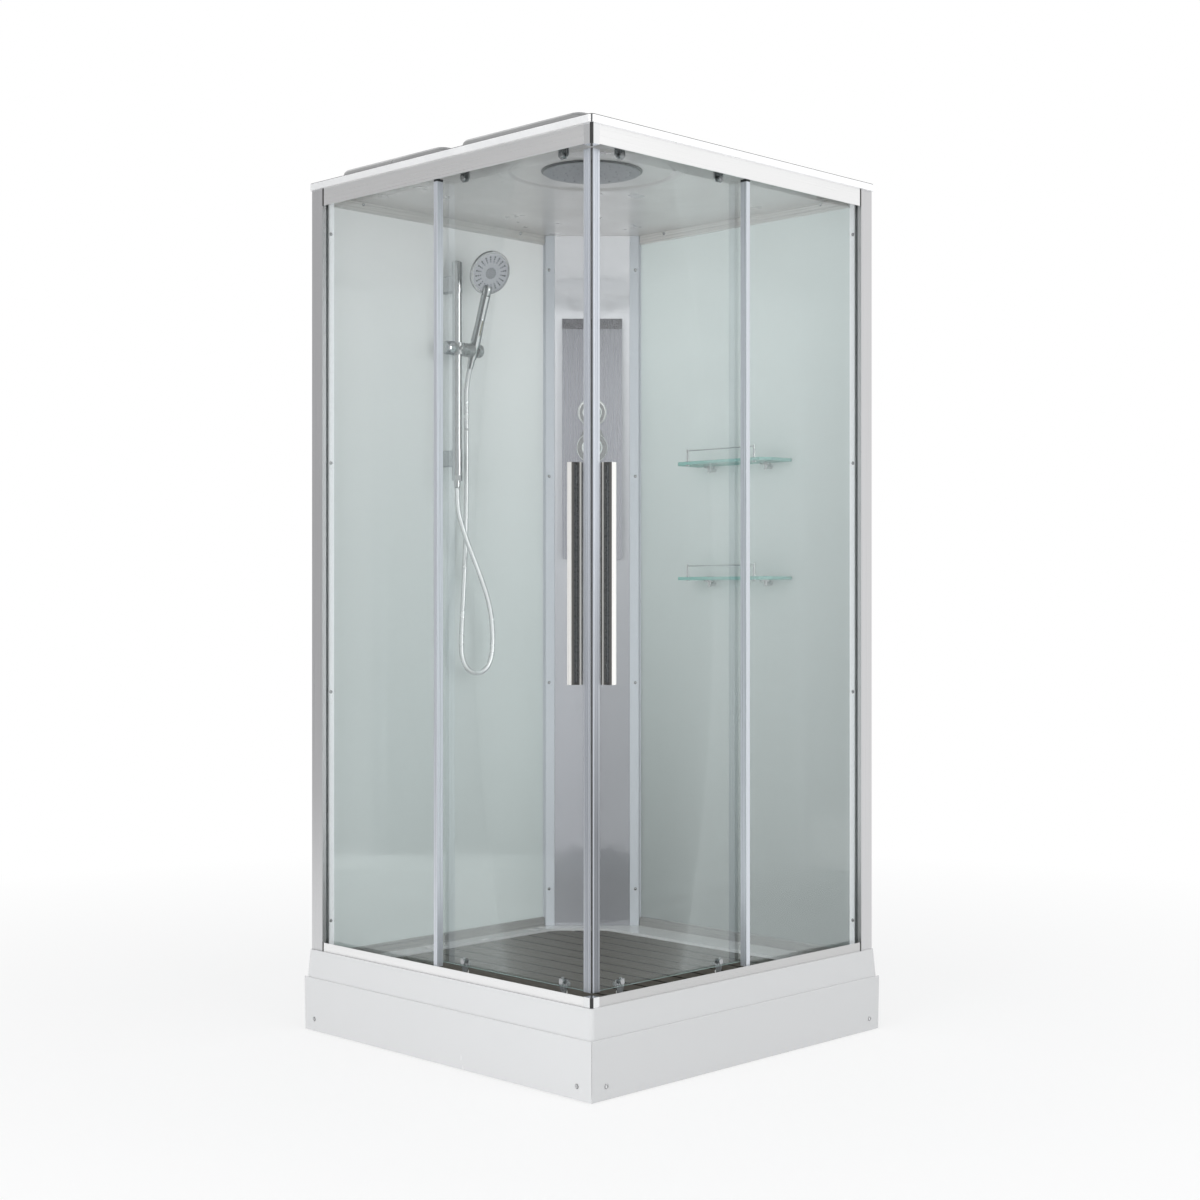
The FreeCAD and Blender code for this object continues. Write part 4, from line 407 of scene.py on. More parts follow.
def handle_groove(f):
    """Painted shade in the groove down the front of each handle, and on its inner side."""
    x, y, _ = f.axes()
    line = f.add("ShaderNodeMath", (x, -y), operation="MINIMUM")
    across, ahead, _ = f.normal()
    # Painted shade on the inner side of each handle
    inner = f.span(x + y, -0.001, 0.001, across, -ahead) > 0.5
    return ((abs(line - GROOVE_LINE) < GROOVE_HALF) * 0.8 + inner * 0.92).clamped()


def strip_end(f):
    """Plugs in the top ends of the glass edge strips."""
    return f.axes()[2] > STRIP_PLUG


# Painted reflections and highlights of polished chrome, as tones from its left edge, at -1, to its
# right edge, at 1
BAR_REFLECTION_TONES = (
    (-1.0, 0.30), (-0.82, 0.62), (-0.42, 0.58), (-0.36, 0.34), (0.0, 0.42), (0.18, 0.62),
    (0.27, 0.50), (0.30, 0.04), (0.36, 0.04), (0.40, 1.0), (0.62, 1.0), (0.72, 0.40),
    (0.86, 0.12), (1.0, 0.25),
)
# Painted reflections and highlights across the hand shower's handle and neck
GRIP_REFLECTION_TONES = (
    (-1.0, 0.50), (-0.38, 0.50), (-0.32, 0.16), (-0.15, 0.05), (0.12, 0.06), (0.20, 0.90),
    (0.62, 1.0), (0.74, 0.35), (1.0, 0.30),
)
# Painted shade and highlights across the silver hose
HOSE_REFLECTION_TONES = (
    (-1.0, 0.45), (-0.80, 0.50), (-0.40, 0.62), (0.0, 0.85), (0.25, 1.0), (0.70, 1.0),
    (0.88, 0.55), (1.0, 0.40),
)
# Painted reflections, highlights and shade round the rim of the hand shower's head
RIM_REFLECTION_TONES = (
    (-1.0, 0.80), (-0.90, 0.75), (-0.84, 0.05), (-0.55, 0.12), (-0.20, 0.04), (-0.12, 1.0),
    (0.36, 1.0), (0.45, 0.45), (1.0, 0.35),
)


def banded(f, value, tones):
    return f.ramp(value * 0.5 + 0.5, [(place * 0.5 + 0.5, tone) for place, tone in tones])


def plated(name, colour, roughness=0.06, depth=1.0, tones=BAR_REFLECTION_TONES):
    """Polished chrome: painted reflections in the dark and bright bands of a round bar, painted
    shade where it looks down, and faint finger marks.
    """
    f = Finish(name)
    x, y, z = f.normal("Normal")
    smear = f.noise(26.0, 5.0)
    # Painted reflections by the way the surface turns, and painted shade where it looks down
    tone = banded(f, (x + y) * 0.7071, tones)
    under = f.span(z, -0.2, -0.9, 0.0, 0.5)
    tone = 1.0 - (1.0 - tone * (1.0 - under)) * depth
    base = f.mix(tone, (0.02, 0.022, 0.024), colour)
    shader = f.surface(
        base_color=base,
        metallic=1.0,
        roughness=f.span(smear, 0.45, 0.75, roughness, roughness * 2.6),
        normal=f.bump(smear, 0.03, 0.0003),
    )
    return f.done(shader)


def control_chrome(name, colour):
    """Chrome control with painted reflections: grey where it faces the room, and a painted
    highlight round its rims.
    """
    f = Finish(name)
    x, y, _ = f.normal("Normal")
    facing = (x - y) * 0.7071
    smear = f.noise(30.0, 5.0)
    # Painted highlight round the rims
    rim = f.span(facing, 0.985, 0.93)
    base = f.mix(rim, shade(colour, 0.40), (1.0, 1.0, 1.0))
    shader = f.surface(
        base_color=base,
        metallic=1.0,
        roughness=f.span(smear, 0.4, 0.75, 0.12, 0.24),
        normal=f.bump(smear, 0.03, 0.0003),
    )
    return f.done(shader)


def magnet_seal(name, dark, pale):
    """Door seal: black magnet strip in the middle, pale carrier beside it."""
    f = Finish(name)
    x, y, _ = f.axes()
    edge = f.span(abs(x + y), SEAL_HALF, SEAL_HALF + 0.0004)
    fine = f.noise(150.0, 3.0)
    base = f.mix(edge, f.mix(fine, shade(dark, 0.8), shade(dark, 1.2)), pale)
    shader = f.surface(
        base_color=base,
        metallic=edge * 0.6,
        roughness=f.span(fine, 0.3, 0.7, 0.35, 0.5),
        normal=f.bump(fine, 0.1, 0.0003),
    )
    return f.done(shader)


def shower_disc(name, colour):
    """Brushed plate of the overhead shower with a dark ring round its edge."""
    f = Finish(name)
    x, y, z = f.axes()
    across = x - SHOWER_PLACE
    down = y + SHOWER_PLACE
    radius = (across * across + down * down) ** 0.5
    rings = f.noise(1.0, 2.0, f.add("ShaderNodeCombineXYZ", (radius * 900.0, z, 0.0)))
    dark = f.span(radius, 0.1120, 0.1130)
    base = f.mix(rings, shade(colour, 0.85), shade(colour, 1.1))
    base = f.mix(dark, base, shade(colour, 0.22))
    shader = f.surface(
        base_color=base,
        metallic=0.9,
        roughness=f.span(rings, 0.3, 0.7, 0.26, 0.4),
        normal=f.bump(rings, 0.05, 0.0003),
    )
    return f.done(shader)


def handset_chrome(name, colour, face, grip):
    """Chrome hand shower with a grey face, a ribbed grey back to its handle, and painted
    reflections and highlights on its chrome.
    """
    f = Finish(name)
    offset = f.add("ShaderNodeVectorMath", {0: f.place(), 1: HEAD_CENTRE}, operation="SUBTRACT")
    ahead = f.dot(offset, HEAD_LOOK)
    size = f.add("ShaderNodeVectorMath", {0: offset}, out="Value", operation="LENGTH")
    plate = (ahead > -0.0005) * (size < FACE_RADIUS)
    along = f.dot(offset, LEAN)
    x, y, z = f.normal("Normal")
    turn = (x + y) * 0.7071
    ribbed = f.span(turn, -0.30, -0.36) * (along < GRIP_RANGE[1]) * (along > GRIP_RANGE[0])
    ribs = (along * 2600.0 + f.dot(offset, HEAD_SIDE) * 1500.0).sine()
    smear = f.noise(26.0, 5.0)
    across = x * HEAD_ACROSS.x + y * HEAD_ACROSS.y + z * HEAD_ACROSS.z
    # Painted reflections and highlights round the rim, mid grey where it looks down, and across
    # the handle
    rim = f.mix(z > -0.05, (0.5, 0.5, 0.5), banded(f, across, RIM_REFLECTION_TONES))
    tone = f.mix(size < HEAD_EDGE, banded(f, turn, GRIP_REFLECTION_TONES), rim)
    chrome = f.mix(tone, (0.02, 0.022, 0.024), colour)
    grips = f.mix(f.span(ribs, -0.4, 0.4), shade(grip, 0.7), shade(grip, 1.15))
    base = f.mix(ribbed, chrome, grips)
    base = f.mix(plate, base, face)
    dull = (plate + ribbed).clamped()
    shader = f.surface(
        base_color=base,
        metallic=1.0 - dull * 0.75,
        roughness=f.span(smear, 0.45, 0.75, 0.06, 0.15) + dull * 0.25,
        normal=f.bump(ribs * ribbed + smear * 0.1, 0.15, 0.0004),
    )
    return f.done(shader)


def clear_glass(name, face, edge, across, share=0.004):
    """Clear pane: mostly see-through faces and a deeper green along the polished edges."""
    f = Finish(name)
    parts = f.normal()
    flat = abs(parts[across[0]])
    for axis in across[1:]:
        flat = flat + abs(parts[axis])
    rim = f.span(flat, 0.4, 0.9, 1.0, 0.0)
    film = f.noise(7.0, 4.0, f.mapped((1, 1, 0.3)))
    through = f.add("ShaderNodeBsdfTransparent", {"Color": (*face, 1)})
    gloss = f.surface(
        base_color=f.mix(rim, (0.75, 0.80, 0.80), edge),
        metallic=f.span(rim, 0.0, 1.0, 0.9, 0.0),
        roughness=f.span(film, 0.3, 0.7, 0.02, 0.09),
    )
    facing = f.add("ShaderNodeLayerWeight", {"Blend": 0.25}, out="Fresnel")
    factor = (f.span(facing, 0.0, 1.0, share, 0.35) + rim * 0.75).clamped()
    mixed = f.add("ShaderNodeMixShader", (factor, through, gloss))
    return f.done(mixed)


def painted_glass(name, colour, left, right, metallic=0.0):
    """Wall glass painted on its back: deep gloss over a pale colour, with painted shade that
    deepens downwards.

    Left and right give each wall's share of the colour at its foot and head, and the power of the
    curve between them: painted shade at the foot and painted light at the head, set apart for each
    wall.
    The walls are told apart by their faces, and the halves of the metallic column by place.
    """
    f = Finish(name)
    cloud = f.noise(1.6, 3.0)
    rise = f.span(f.axes()[2], WALL_FOOT, WALL_HEAD)
    # Painted shade towards the foot and painted light towards the head, for each wall and each
    # half of the column
    tones = []
    for foot, head, shade_power in (left, right):
        tones.append(f.mix(rise ** shade_power, shade(colour, foot), shade(colour, head)))
    if metallic:
        on_left = f.span(f.dot(f.place(), (0.7071, 0.7071, 0.0)), 0.02, -0.02)
    else:
        on_left = f.normal()[0]
    base = f.mix(on_left.clamped(), tones[1], tones[0])
    base = f.mix(cloud, base, f.mix(0.05, base, (0.0, 0.0, 0.0)))
    drops = f.noise(34.0, 4.0)
    shader = f.surface(
        base_color=base,
        metallic=metallic,
        roughness=f.span(drops, 0.4, 0.7, 0.05, 0.14),
        coat_weight=0.6,
        coat_roughness=0.03,
        normal=f.bump(f.noise(4.0, 1.0), 0.03, 0.001),
    )
    return f.done(shader)


def stile_paint(name, near, far):
    """Lacquered stile, white beside the end posts and grey beside the column, with painted light:
    the white part glows a little.
    """
    f = Finish(name)
    x, y, _ = f.axes()
    fine = f.noise(220.0, 3.0)
    front = f.span(x - y, -0.2, 0.0)
    base = f.mix(front, far, near)
    base = f.mix(fine, base, f.mix(0.06, base, (0.0, 0.0, 0.0)))
    shader = f.surface(
        base_color=base,
        # Painted light: the white part glows
        emission_color=f.mix(front, (0.0, 0.0, 0.0), shade(near, 0.34)),
        emission_strength=1.0,
        roughness=f.span(fine, 0.3, 0.7, 0.25, 0.4),
        normal=f.bump(fine, 0.05, 0.0002),
    )
    return f.done(shader)


def ribbed_insert(name, colour):
    """Dark grip strip of the handles, with a paler rib and painted shadows as fine black lines
    beside it.
    """
    f = Finish(name)
    x, y, _ = f.axes()
    depth = f.add("ShaderNodeMath", (x, -y), operation="MAXIMUM")
    fine = f.noise(260.0, 3.0)
    rib = abs(depth - RIB_LINE) < RIB_HALF
    # Painted shadows beside the rib
    shadows = [abs(depth - place) < 0.0005 for place in RIB_SHADOWS]
    lines = shadows[0] + shadows[1]
    base = f.mix(fine, shade(colour, 1.5), shade(colour, 2.1))
    base = f.mix(rib, base, shade(colour, 6.0))
    base = f.mix(lines.clamped(), base, shade(colour, 0.2))
    shader = f.surface(
        base_color=base,
        roughness=f.span(fine, 0.3, 0.7, 0.22, 0.36),
        normal=f.bump(rib * 1.0 - lines + fine * 0.1, 0.2, 0.0004),
    )
    return f.done(shader)


def moulded(name, colour, roughness):
    """Moulded plastic or rubber with a fine grain."""
    f = Finish(name)
    fine = f.noise(160.0, 3.0)
    base = f.mix(f.noise(12.0, 3.0), shade(colour, 0.9), shade(colour, 1.08))
    shader = f.surface(
        base_color=base,
        roughness=f.span(fine, 0.3, 0.7, roughness * 0.85, roughness * 1.15),
        normal=f.bump(fine, 0.12, 0.0004),
    )
    return f.done(shader)


def stained_wood(name, colour, along):
    """Dark stained slats with grain along their length, a shade of their own, and painted shade in
    the gaps between them.
    """
    f = Finish(name)
    scale = [90.0, 90.0, 90.0]
    scale[along] = 3.0
    grain = f.noise(1.0, 6.0, f.mapped(tuple(scale)), 0.65)
    broad = [14.0, 14.0, 14.0]
    broad[along] = 0.8
    bands = f.noise(1.0, 3.0, f.mapped(tuple(broad)), 0.5)
    base = f.mix(grain, shade(colour, 0.62), shade(colour, 1.35))
    base = f.mix(f.span(bands, 0.3, 0.7, 0.0, 0.6), base, shade(colour, 1.25))
    if along == 0:
        # Painted shade in the gaps between the slats
        gap = abs(((f.axes()[1] + SLAT_START) * (1 / SLAT_PITCH)).fraction() - 0.5)
        base = f.mix(f.span(gap, 0.43, 0.45), base, shade(colour, 0.1))
    shader = f.surface(
        base_color=base,
        specular_ior_level=0.2,
        roughness=f.span(grain, 0.3, 0.7, 0.5, 0.7),
        normal=f.bump(grain, 0.35, 0.0008),
    )
    return f.done(shader)


def polished_steel(name, colour, roughness):
    """Polished sheet steel with a faint vertical brushing and cloudy reflections."""
    f = Finish(name)
    brush = f.noise(1.0, 4.0, f.mapped((900.0, 900.0, 3.0)), 0.6)
    cloud = f.noise(5.0, 3.0)
    base = f.mix(cloud, shade(colour, 0.94), shade(colour, 1.05))
    shader = f.surface(
        base_color=base,
        metallic=1.0,
        roughness=f.span(brush, 0.3, 0.7, roughness * 0.8, roughness * 1.3),
        normal=f.bump(brush, 0.02, 0.0001),
    )
    return f.done(shader)


def corner_chrome(name, colour):
    """Chrome corner piece with a black strip down its outermost edge."""
    f = Finish(name)
    x, y, _ = f.axes()
    strip = f.span(x - y, CORNER_STRIP, CORNER_STRIP + 0.0008)
    smear = f.noise(26.0, 5.0)
    base = f.mix(strip, colour, (0.02, 0.02, 0.02))
    shader = f.surface(
        base_color=base,
        metallic=1.0 - strip,
        roughness=f.span(smear, 0.4, 0.7, 0.07, 0.2) + strip * 0.3,
        normal=f.bump(smear, 0.03, 0.0003),
    )
    return f.done(shader)


# Properties


def colour_property(name, description, default):
    return FloatVectorProperty(
        name=name, description=description, default=default, subtype="COLOR", min=0.0, max=1.0
    )


def length_property(name, description, default):
    return FloatProperty(name=name, description=description, default=default, unit="LENGTH")


class EnclosureColours(bpy.types.PropertyGroup):
    acrylic: colour_property("Acrylic", "Tray, skirt and roof", (0.71, 0.712, 0.715))
    rails: colour_property("Rails", "Level rails and end posts", (0.90, 0.90, 0.90))
    posts: colour_property("Posts", "Upright end posts", (0.73, 0.73, 0.74))
    profiles: colour_property("Profiles", "Door profiles and edge strips", (0.64, 0.67, 0.72))
    stiles: colour_property("Stiles", "Wall stiles beside the posts", (0.95, 0.96, 0.98))
    wall_glass: colour_property("Wall glass", "Paint behind the wall glass", (0.72, 0.785, 0.775))
    column: colour_property("Column", "Corner column", (0.60, 0.60, 0.655))
    chrome: colour_property("Chrome", "Plated fittings", (0.86, 0.87, 0.88))
    steel: colour_property("Steel", "Control panel", (0.42, 0.42, 0.46))
    deck: colour_property("Deck", "Stained slats", (0.085, 0.074, 0.060))
    pane: colour_property("Pane", "Tint of light through clear glass", (0.985, 0.992, 0.990))
    pane_edge: colour_property("Pane edge", "Polished glass edges", (0.32, 0.44, 0.41))
    seal: colour_property("Seal", "Magnet seals and inserts", (0.03, 0.032, 0.033))
    hose: colour_property("Hose", "Silver hose", (0.93, 0.94, 0.95))
    # The ceiling colour is a painted shade of the roof's underside
    ceiling: colour_property("Ceiling", "Liner under the roof", (0.62, 0.59, 0.58))
    foot_rails: colour_property("Foot rails", "Bottom rails", (1.0, 1.0, 1.0))
    wall_bars: colour_property("Wall bars", "Level bars of the walls", (0.66, 0.64, 0.62))
    handles: colour_property("Handles", "Bars of the door handles", (0.90, 0.89, 0.86))
    brackets: colour_property("Brackets", "Roller brackets", (0.46, 0.47, 0.48))
    shelf_face: colour_property("Shelf face", "Tint of the shelves", (0.78, 0.91, 0.88))
    shelf_edge: colour_property("Shelf edge", "Edges of the shelves", (0.20, 0.44, 0.40))
    plate: colour_property("Plate", "Overhead shower", (0.25, 0.255, 0.27))
    face: colour_property("Face", "Face of the hand shower", (0.44, 0.44, 0.48))
    grip: colour_property("Grip", "Back of the hand shower", (0.30, 0.31, 0.32))
    nozzles: colour_property("Nozzles", "Rubber nozzles", (0.02, 0.021, 0.025))
    inlay: colour_property("Inlay", "Inlay of the hand shower", (0.20, 0.19, 0.12))
    wheels: colour_property("Wheels", "Nylon wheels", (0.78, 0.78, 0.76))
    trap: colour_property("Trap", "Waste trap", (0.75, 0.76, 0.76))
    base_frame: colour_property("Base frame", "Painted tray frame", (0.16, 0.165, 0.17))
    feet: colour_property("Feet", "Zinc plated feet", (0.6, 0.61, 0.62))
    valve: colour_property("Valve", "Brass mixer valve", (0.66, 0.52, 0.28))


class EnclosureHose(bpy.types.PropertyGroup):
    diameter: length_property("Diameter", "Hose diameter", 0.013)
    sides: IntProperty(name="Sides", description="Faces round the hose", default=20, min=8)
    split_height: length_property(
        "Split height", "Height on the rising side where the upper length begins", 1.50
    )


class EnclosureHandset(bpy.types.PropertyGroup):
    rows: IntProperty(name="Rows", description="Rows of nozzles round the face", default=20, min=6)
    neck: length_property("Neck", "Radius of the neck in front of the face", 0.0130)
    inlay_reach: length_property("Inlay reach", "Place of the inlay along the handle", 0.060)


class EnclosurePads(bpy.types.PropertyGroup):
    side_margin: length_property("Side margin", "From the roof's left edge to the pads", 0.018)
    front_margin: length_property("Front margin", "From the roof's right edge to the pads", 0.056)
    middle: length_property("Middle", "From the edges to the channel between the pads", 0.4775)
    channel: length_property("Channel", "Width of the channel between the pads", 0.053)
    far: length_property("Far edge", "From the edges to the far side of the pads", 0.889)
    corner: length_property("Corner", "Corner radius of the pads", 0.030)


class EnclosureView(bpy.types.PropertyGroup):
    azimuth: FloatProperty(
        name="Azimuth", description="Camera direction", default=math.radians(44.82),
        subtype="ANGLE",
    )
    distance: length_property("Distance", "Camera distance", 4.70831)
    side_step: length_property("Side step", "Camera offset to its right", 0.01972)
    height: length_property("Height", "Camera height", 1.06183)
    lens: FloatProperty(name="Lens", description="Focal length in mm", default=57.383)


# Operators


def fresh():
    """Leave nothing selected, because an operator acts on all that is."""
    if bpy.context.mode != "OBJECT":
        bpy.ops.object.mode_set(mode="OBJECT")
    bpy.ops.object.select_all(action="DESELECT")


def give(material, *names):
    """Put a finish on CAD nodes."""
    for name in names:
        mesh = NODES[name].data
        mesh.materials.clear()
        mesh.materials.append(material)


def both(*names):
    return [name + side for name in names for side in ("_left", "_right")]


class ENCLOSURE_OT_stage(bpy.types.Operator):
    """Add the floor, the lamps, the world and the camera"""

    bl_idname = "enclosure.stage"
    bl_label = "Stage"

    def execute(self, context):
        self.floor()
        self.world(context.scene)
        self.lamps()
        self.camera(context.scene)
        context.scene.view_settings.view_transform = "Standard"
        return {"FINISHED"}

    def floor(self):
        fresh()
        bpy.ops.mesh.primitive_plane_add(size=40.0, location=(0, 0, -0.0005))
        floor = bpy.context.object
        floor.name = "floor"
        f = Finish("Studio floor")
        path = f.add("ShaderNodeLightPath", out="Is Camera Ray").socket.node
        seen = Wire(f, path.outputs["Is Camera Ray"])
        mirrored = Wire(f, path.outputs["Is Glossy Ray"])
        through = Wire(f, path.outputs["Is Transmission Ray"])
        x, y, _ = f.axes()
        away = f.span((x * x + y * y) ** 0.5, 1.2, 3.4, 0.72, 1.0)
        share = (seen + mirrored + through).clamped() * away
        plain = f.surface(base_color=(0.96, 0.96, 0.96), roughness=0.7)
        glow = f.add("ShaderNodeEmission", {"Color": (1, 1, 1, 1), "Strength": 1.0})
        floor.data.materials.append(f.done(f.add("ShaderNodeMixShader", (share, plain, glow))))
        for name, spot, width, height, tone in CARDS:
            self.card(name, Vector(spot), width, height, tone)

    def card(self, name, spot, width, height, tone):
        """A plain grey card beside the cabin that its metal and glass mirror."""
        fresh()
        bpy.ops.mesh.primitive_plane_add(size=1.0, location=spot)
        card = bpy.context.object
        card.name = name
        card.visible_camera = False
        card.scale = (width, height, 1.0)
        card.rotation_euler = (AIM - spot).to_track_quat("Z", "Y").to_euler()
        f = Finish(name)
        grey = (tone, tone, tone * 1.01, 1)
        glow = f.add("ShaderNodeEmission", {"Color": grey, "Strength": 1.0})
        card.data.materials.append(f.done(glow))

    def world(self, scene):
        world = bpy.data.worlds.new("Studio")
        scene.world = world
        world.use_nodes = True
        tree = world.node_tree
        tree.nodes.clear()
        path = tree.nodes.new("ShaderNodeLightPath")
        most = tree.nodes.new("ShaderNodeMath")
        most.operation = "MAXIMUM"
        tree.links.new(path.outputs["Is Camera Ray"], most.inputs[0])
        tree.links.new(path.outputs["Is Glossy Ray"], most.inputs[1])
        blend = tree.nodes.new("ShaderNodeMixShader")
        tree.links.new(most.outputs[0], blend.inputs[0])
        for slot, (colour, strength) in enumerate((ROOM_LIGHT, ROOM_SEEN), 1):
            room = tree.nodes.new("ShaderNodeBackground")
            room.inputs["Color"].default_value = (*colour, 1)
            room.inputs["Strength"].default_value = strength
            tree.links.new(room.outputs[0], blend.inputs[slot])
        output = tree.nodes.new("ShaderNodeOutputWorld")
        tree.links.new(blend.outputs[0], output.inputs["Surface"])

    def lamps(self):
        for name, spot, width, height, power in LAMPS:
            lamp = bpy.data.lights.new(name, "AREA")
            lamp.shape = "RECTANGLE"
            lamp.size = width
            lamp.size_y = height
            lamp.energy = power
            thing = bpy.data.objects.new(name, lamp)
            thing.location = spot
            aim = AIM - Vector(spot)
            thing.rotation_euler = aim.to_track_quat("-Z", "Y").to_euler()
            thing.visible_glossy = name == "strip"
            bpy.context.scene.collection.objects.link(thing)

    def camera(self, scene):
        view = scene.enclosure_view
        a = view.azimuth
        ahead = Vector((-math.sin(a), math.cos(a), 0))
        right = Vector((math.cos(a), math.sin(a), 0))
        data = bpy.data.cameras.new("camera")
        data.sensor_width = 36.0
        data.lens = view.lens
        data.shift_y = -2.25 / 1200
        camera = bpy.data.objects.new("camera", data)
        camera.location = -ahead * view.distance + right * view.side_step
        camera.location.z = view.height
        camera.rotation_euler = ahead.to_track_quat("-Z", "Y").to_euler()
        scene.collection.objects.link(camera)
        scene.camera = camera


class ENCLOSURE_OT_finishes(bpy.types.Operator):
    """Give every solid of the enclosure its finish"""

    bl_idname = "enclosure.finishes"
    bl_label = "Finishes"

    def execute(self, context):
        c = context.scene.enclosure_colours
        white = tuple(c.acrylic)
        chrome = tuple(c.chrome)
        give(acrylic("White acrylic", white), "tray", "apron_panels")
        # The roof: painted shadow along its lip and painted shade on the ceiling under it
        give(acrylic("Pearl acrylic", shade(white, 1.36), 0.35, 0.45, lip_lines,
                     tuple(c.ceiling)), "roof")
        rails = drawn_metal("Satin aluminium", tuple(c.rails), (0, 1), 0.32, joint=rail_joint)
        give(rails, "top_rails")
        low = drawn_metal("Satin foot rail", tuple(c.foot_rails), (0, 1), 0.32, joint=foot_rail)
        give(low, "bottom_rails")
        post = drawn_metal("Satin post", tuple(c.posts), (2,), 0.32, joint=post_shade)
        give(post, "end_posts")
        pale = drawn_metal("Pale profile", tuple(c.profiles), (2,), 0.3, 0.7, 0.05, profile_foot)
        give(pale, *both("door_profile"))
        strips = drawn_metal("Edge strip", tuple(c.profiles), (2,), 0.3, 0.7, 0.05, strip_end)
        give(strips, "edge_strips")
        give(stile_paint("Stile paint", tuple(c.stiles), shade(tuple(c.profiles), 0.95)),
             "wall_profiles")
        bars = drawn_metal("Wall bar", tuple(c.wall_bars), (0, 1), 0.3, 0.4, 0.05, bar_foot)
        give(bars, "wall_bars")
        give(corner_chrome("Corner chrome", chrome), "corner_blocks")
        pane = clear_glass("Clear glass", tuple(c.pane), tuple(c.pane_edge), (0, 1))
        give(pane, "fixed_glass", *both("door_glass"))
        tints = (tuple(c.shelf_face), tuple(c.shelf_edge))
        shelf = clear_glass("Shelf glass", *tints, (2,), 0.05)
        give(shelf, "shelf_glass")
        # The walls and the column: painted shade towards the foot and painted light towards the
        # head
        give(painted_glass("Painted wall glass", tuple(c.wall_glass), (0.94, 1.40, 2.2),
                           (0.44, 1.15, 1.25)), "back_glass")
        give(painted_glass("Painted column", tuple(c.column), (0.70, 1.6, 2.0), (0.52, 1.6, 2.2),
                           0.3), "column_panel")
        give(polished_steel("Polished steel", tuple(c.steel), 0.26), "control_panel")
        give(shower_disc("Shower plate", tuple(c.plate)), "overhead_shower")
        give(plated("Chrome", chrome), "riser_rail", "riser_brackets", "shelf_fittings",
             "waste_cover", "cover_screws", "apron_screw_caps", "clamp_knob",
             *both("release_button_1", "release_button_2"))
        give(plated("Satin chrome", shade(chrome, 0.52), 0.2, 0.3), "slider", "cradle")
        zinc = drawn_metal("Bracket zinc", tuple(c.brackets), (2,), 0.25, 0.9)
        give(zinc, *both("roller_brackets"))
        grips = tuple(c.handles)
        bar = drawn_metal("Handle bar", grips, (2,), 0.3, 0.45, 0.03, handle_groove)
        give(bar, *both("door_handle"))
        give(control_chrome("Control chrome", chrome), "diverter_control", "mixer_control")
        give(handset_chrome("Hand shower", chrome, tuple(c.face), tuple(c.grip)), "hand_shower")
        give(stained_wood("Deck slats", tuple(c.deck), 0), "deck_slats")
        give(stained_wood("Deck battens", shade(tuple(c.deck), 0.8), 1), "deck_battens")
        give(ribbed_insert("Black insert", tuple(c.seal)), *both("handle_insert"))
        give(magnet_seal("Magnet seal", tuple(c.seal), tuple(c.profiles)), *both("door_seal"))
        nylon = moulded("Nylon", tuple(c.wheels), 0.4)
        give(nylon, *both("top_wheel_1", "top_wheel_2", "bottom_wheel_1", "bottom_wheel_2"))
        give(moulded("Grey lug", tuple(c.grip), 0.4), "spray_selector")
        give(moulded("Trap plastic", tuple(c.trap), 0.5), "waste_trap")
        give(moulded("Frame paint", tuple(c.base_frame), 0.5), "tray_frame")
        give(polished_steel("Zinc", tuple(c.feet), 0.35), "levelling_feet")
        give(drawn_metal("Brass", tuple(c.valve), (2,), 0.3), "mixer_valve")
        return {"FINISHED"}


def spline_points(route):
    """Points of the smooth line that has the route as its control points."""
    curve = bpy.data.curves.new("hose_line", "CURVE")
    curve.dimensions = "3D"
    curve.resolution_u = 24
    spline = curve.splines.new("NURBS")
    spline.points.add(len(route) - 1)
    for point, place in zip(spline.points, route):
        point.co = (*place, 1)
    spline.order_u = 3
    spline.use_endpoint_u = True
    line = bpy.data.objects.new("hose_line", curve)
    bpy.context.scene.collection.objects.link(line)
    mesh = bpy.data.meshes.new_from_object(line)
    points = [v.co.copy() for v in mesh.vertices]
    bpy.data.objects.remove(line)
    bpy.data.meshes.remove(mesh)
    return points


def tube(name, points, radius, sides):
    """Round tube along points, its ends closed."""
    verts, faces = [], []
    side = Vector((1, 0, 0))
    for k, point in enumerate(points):
        ahead = points[min(k + 1, len(points) - 1)] - points[max(k - 1, 0)]
        ahead.normalize()
        side = (side - ahead * side.dot(ahead)).normalized()
        up = ahead.cross(side)
        for s in range(sides):
            angle = 2 * math.pi * s / sides
            out = side * math.cos(angle) + up * math.sin(angle)
            verts.append(point + out * radius)
    for k in range(len(points) - 1):
        for s in range(sides):
            a, b = k * sides + s, k * sides + (s + 1) % sides
            faces.append((a, b, b + sides, a + sides))
    faces.append(tuple(reversed(range(sides))))
    last = (len(points) - 1) * sides
    faces.append(tuple(range(last, last + sides)))
    mesh = bpy.data.meshes.new(name)
    mesh.from_pydata([tuple(v) for v in verts], [], faces)
    mesh.update()
    thing = bpy.data.objects.new(name, mesh)
    bpy.context.scene.collection.objects.link(thing)
    for face in mesh.polygons:
        face.use_smooth = len(face.vertices) == 4
    return thing


def path_length(points):
    return sum((b - a).length for a, b in zip(points, points[1:]))


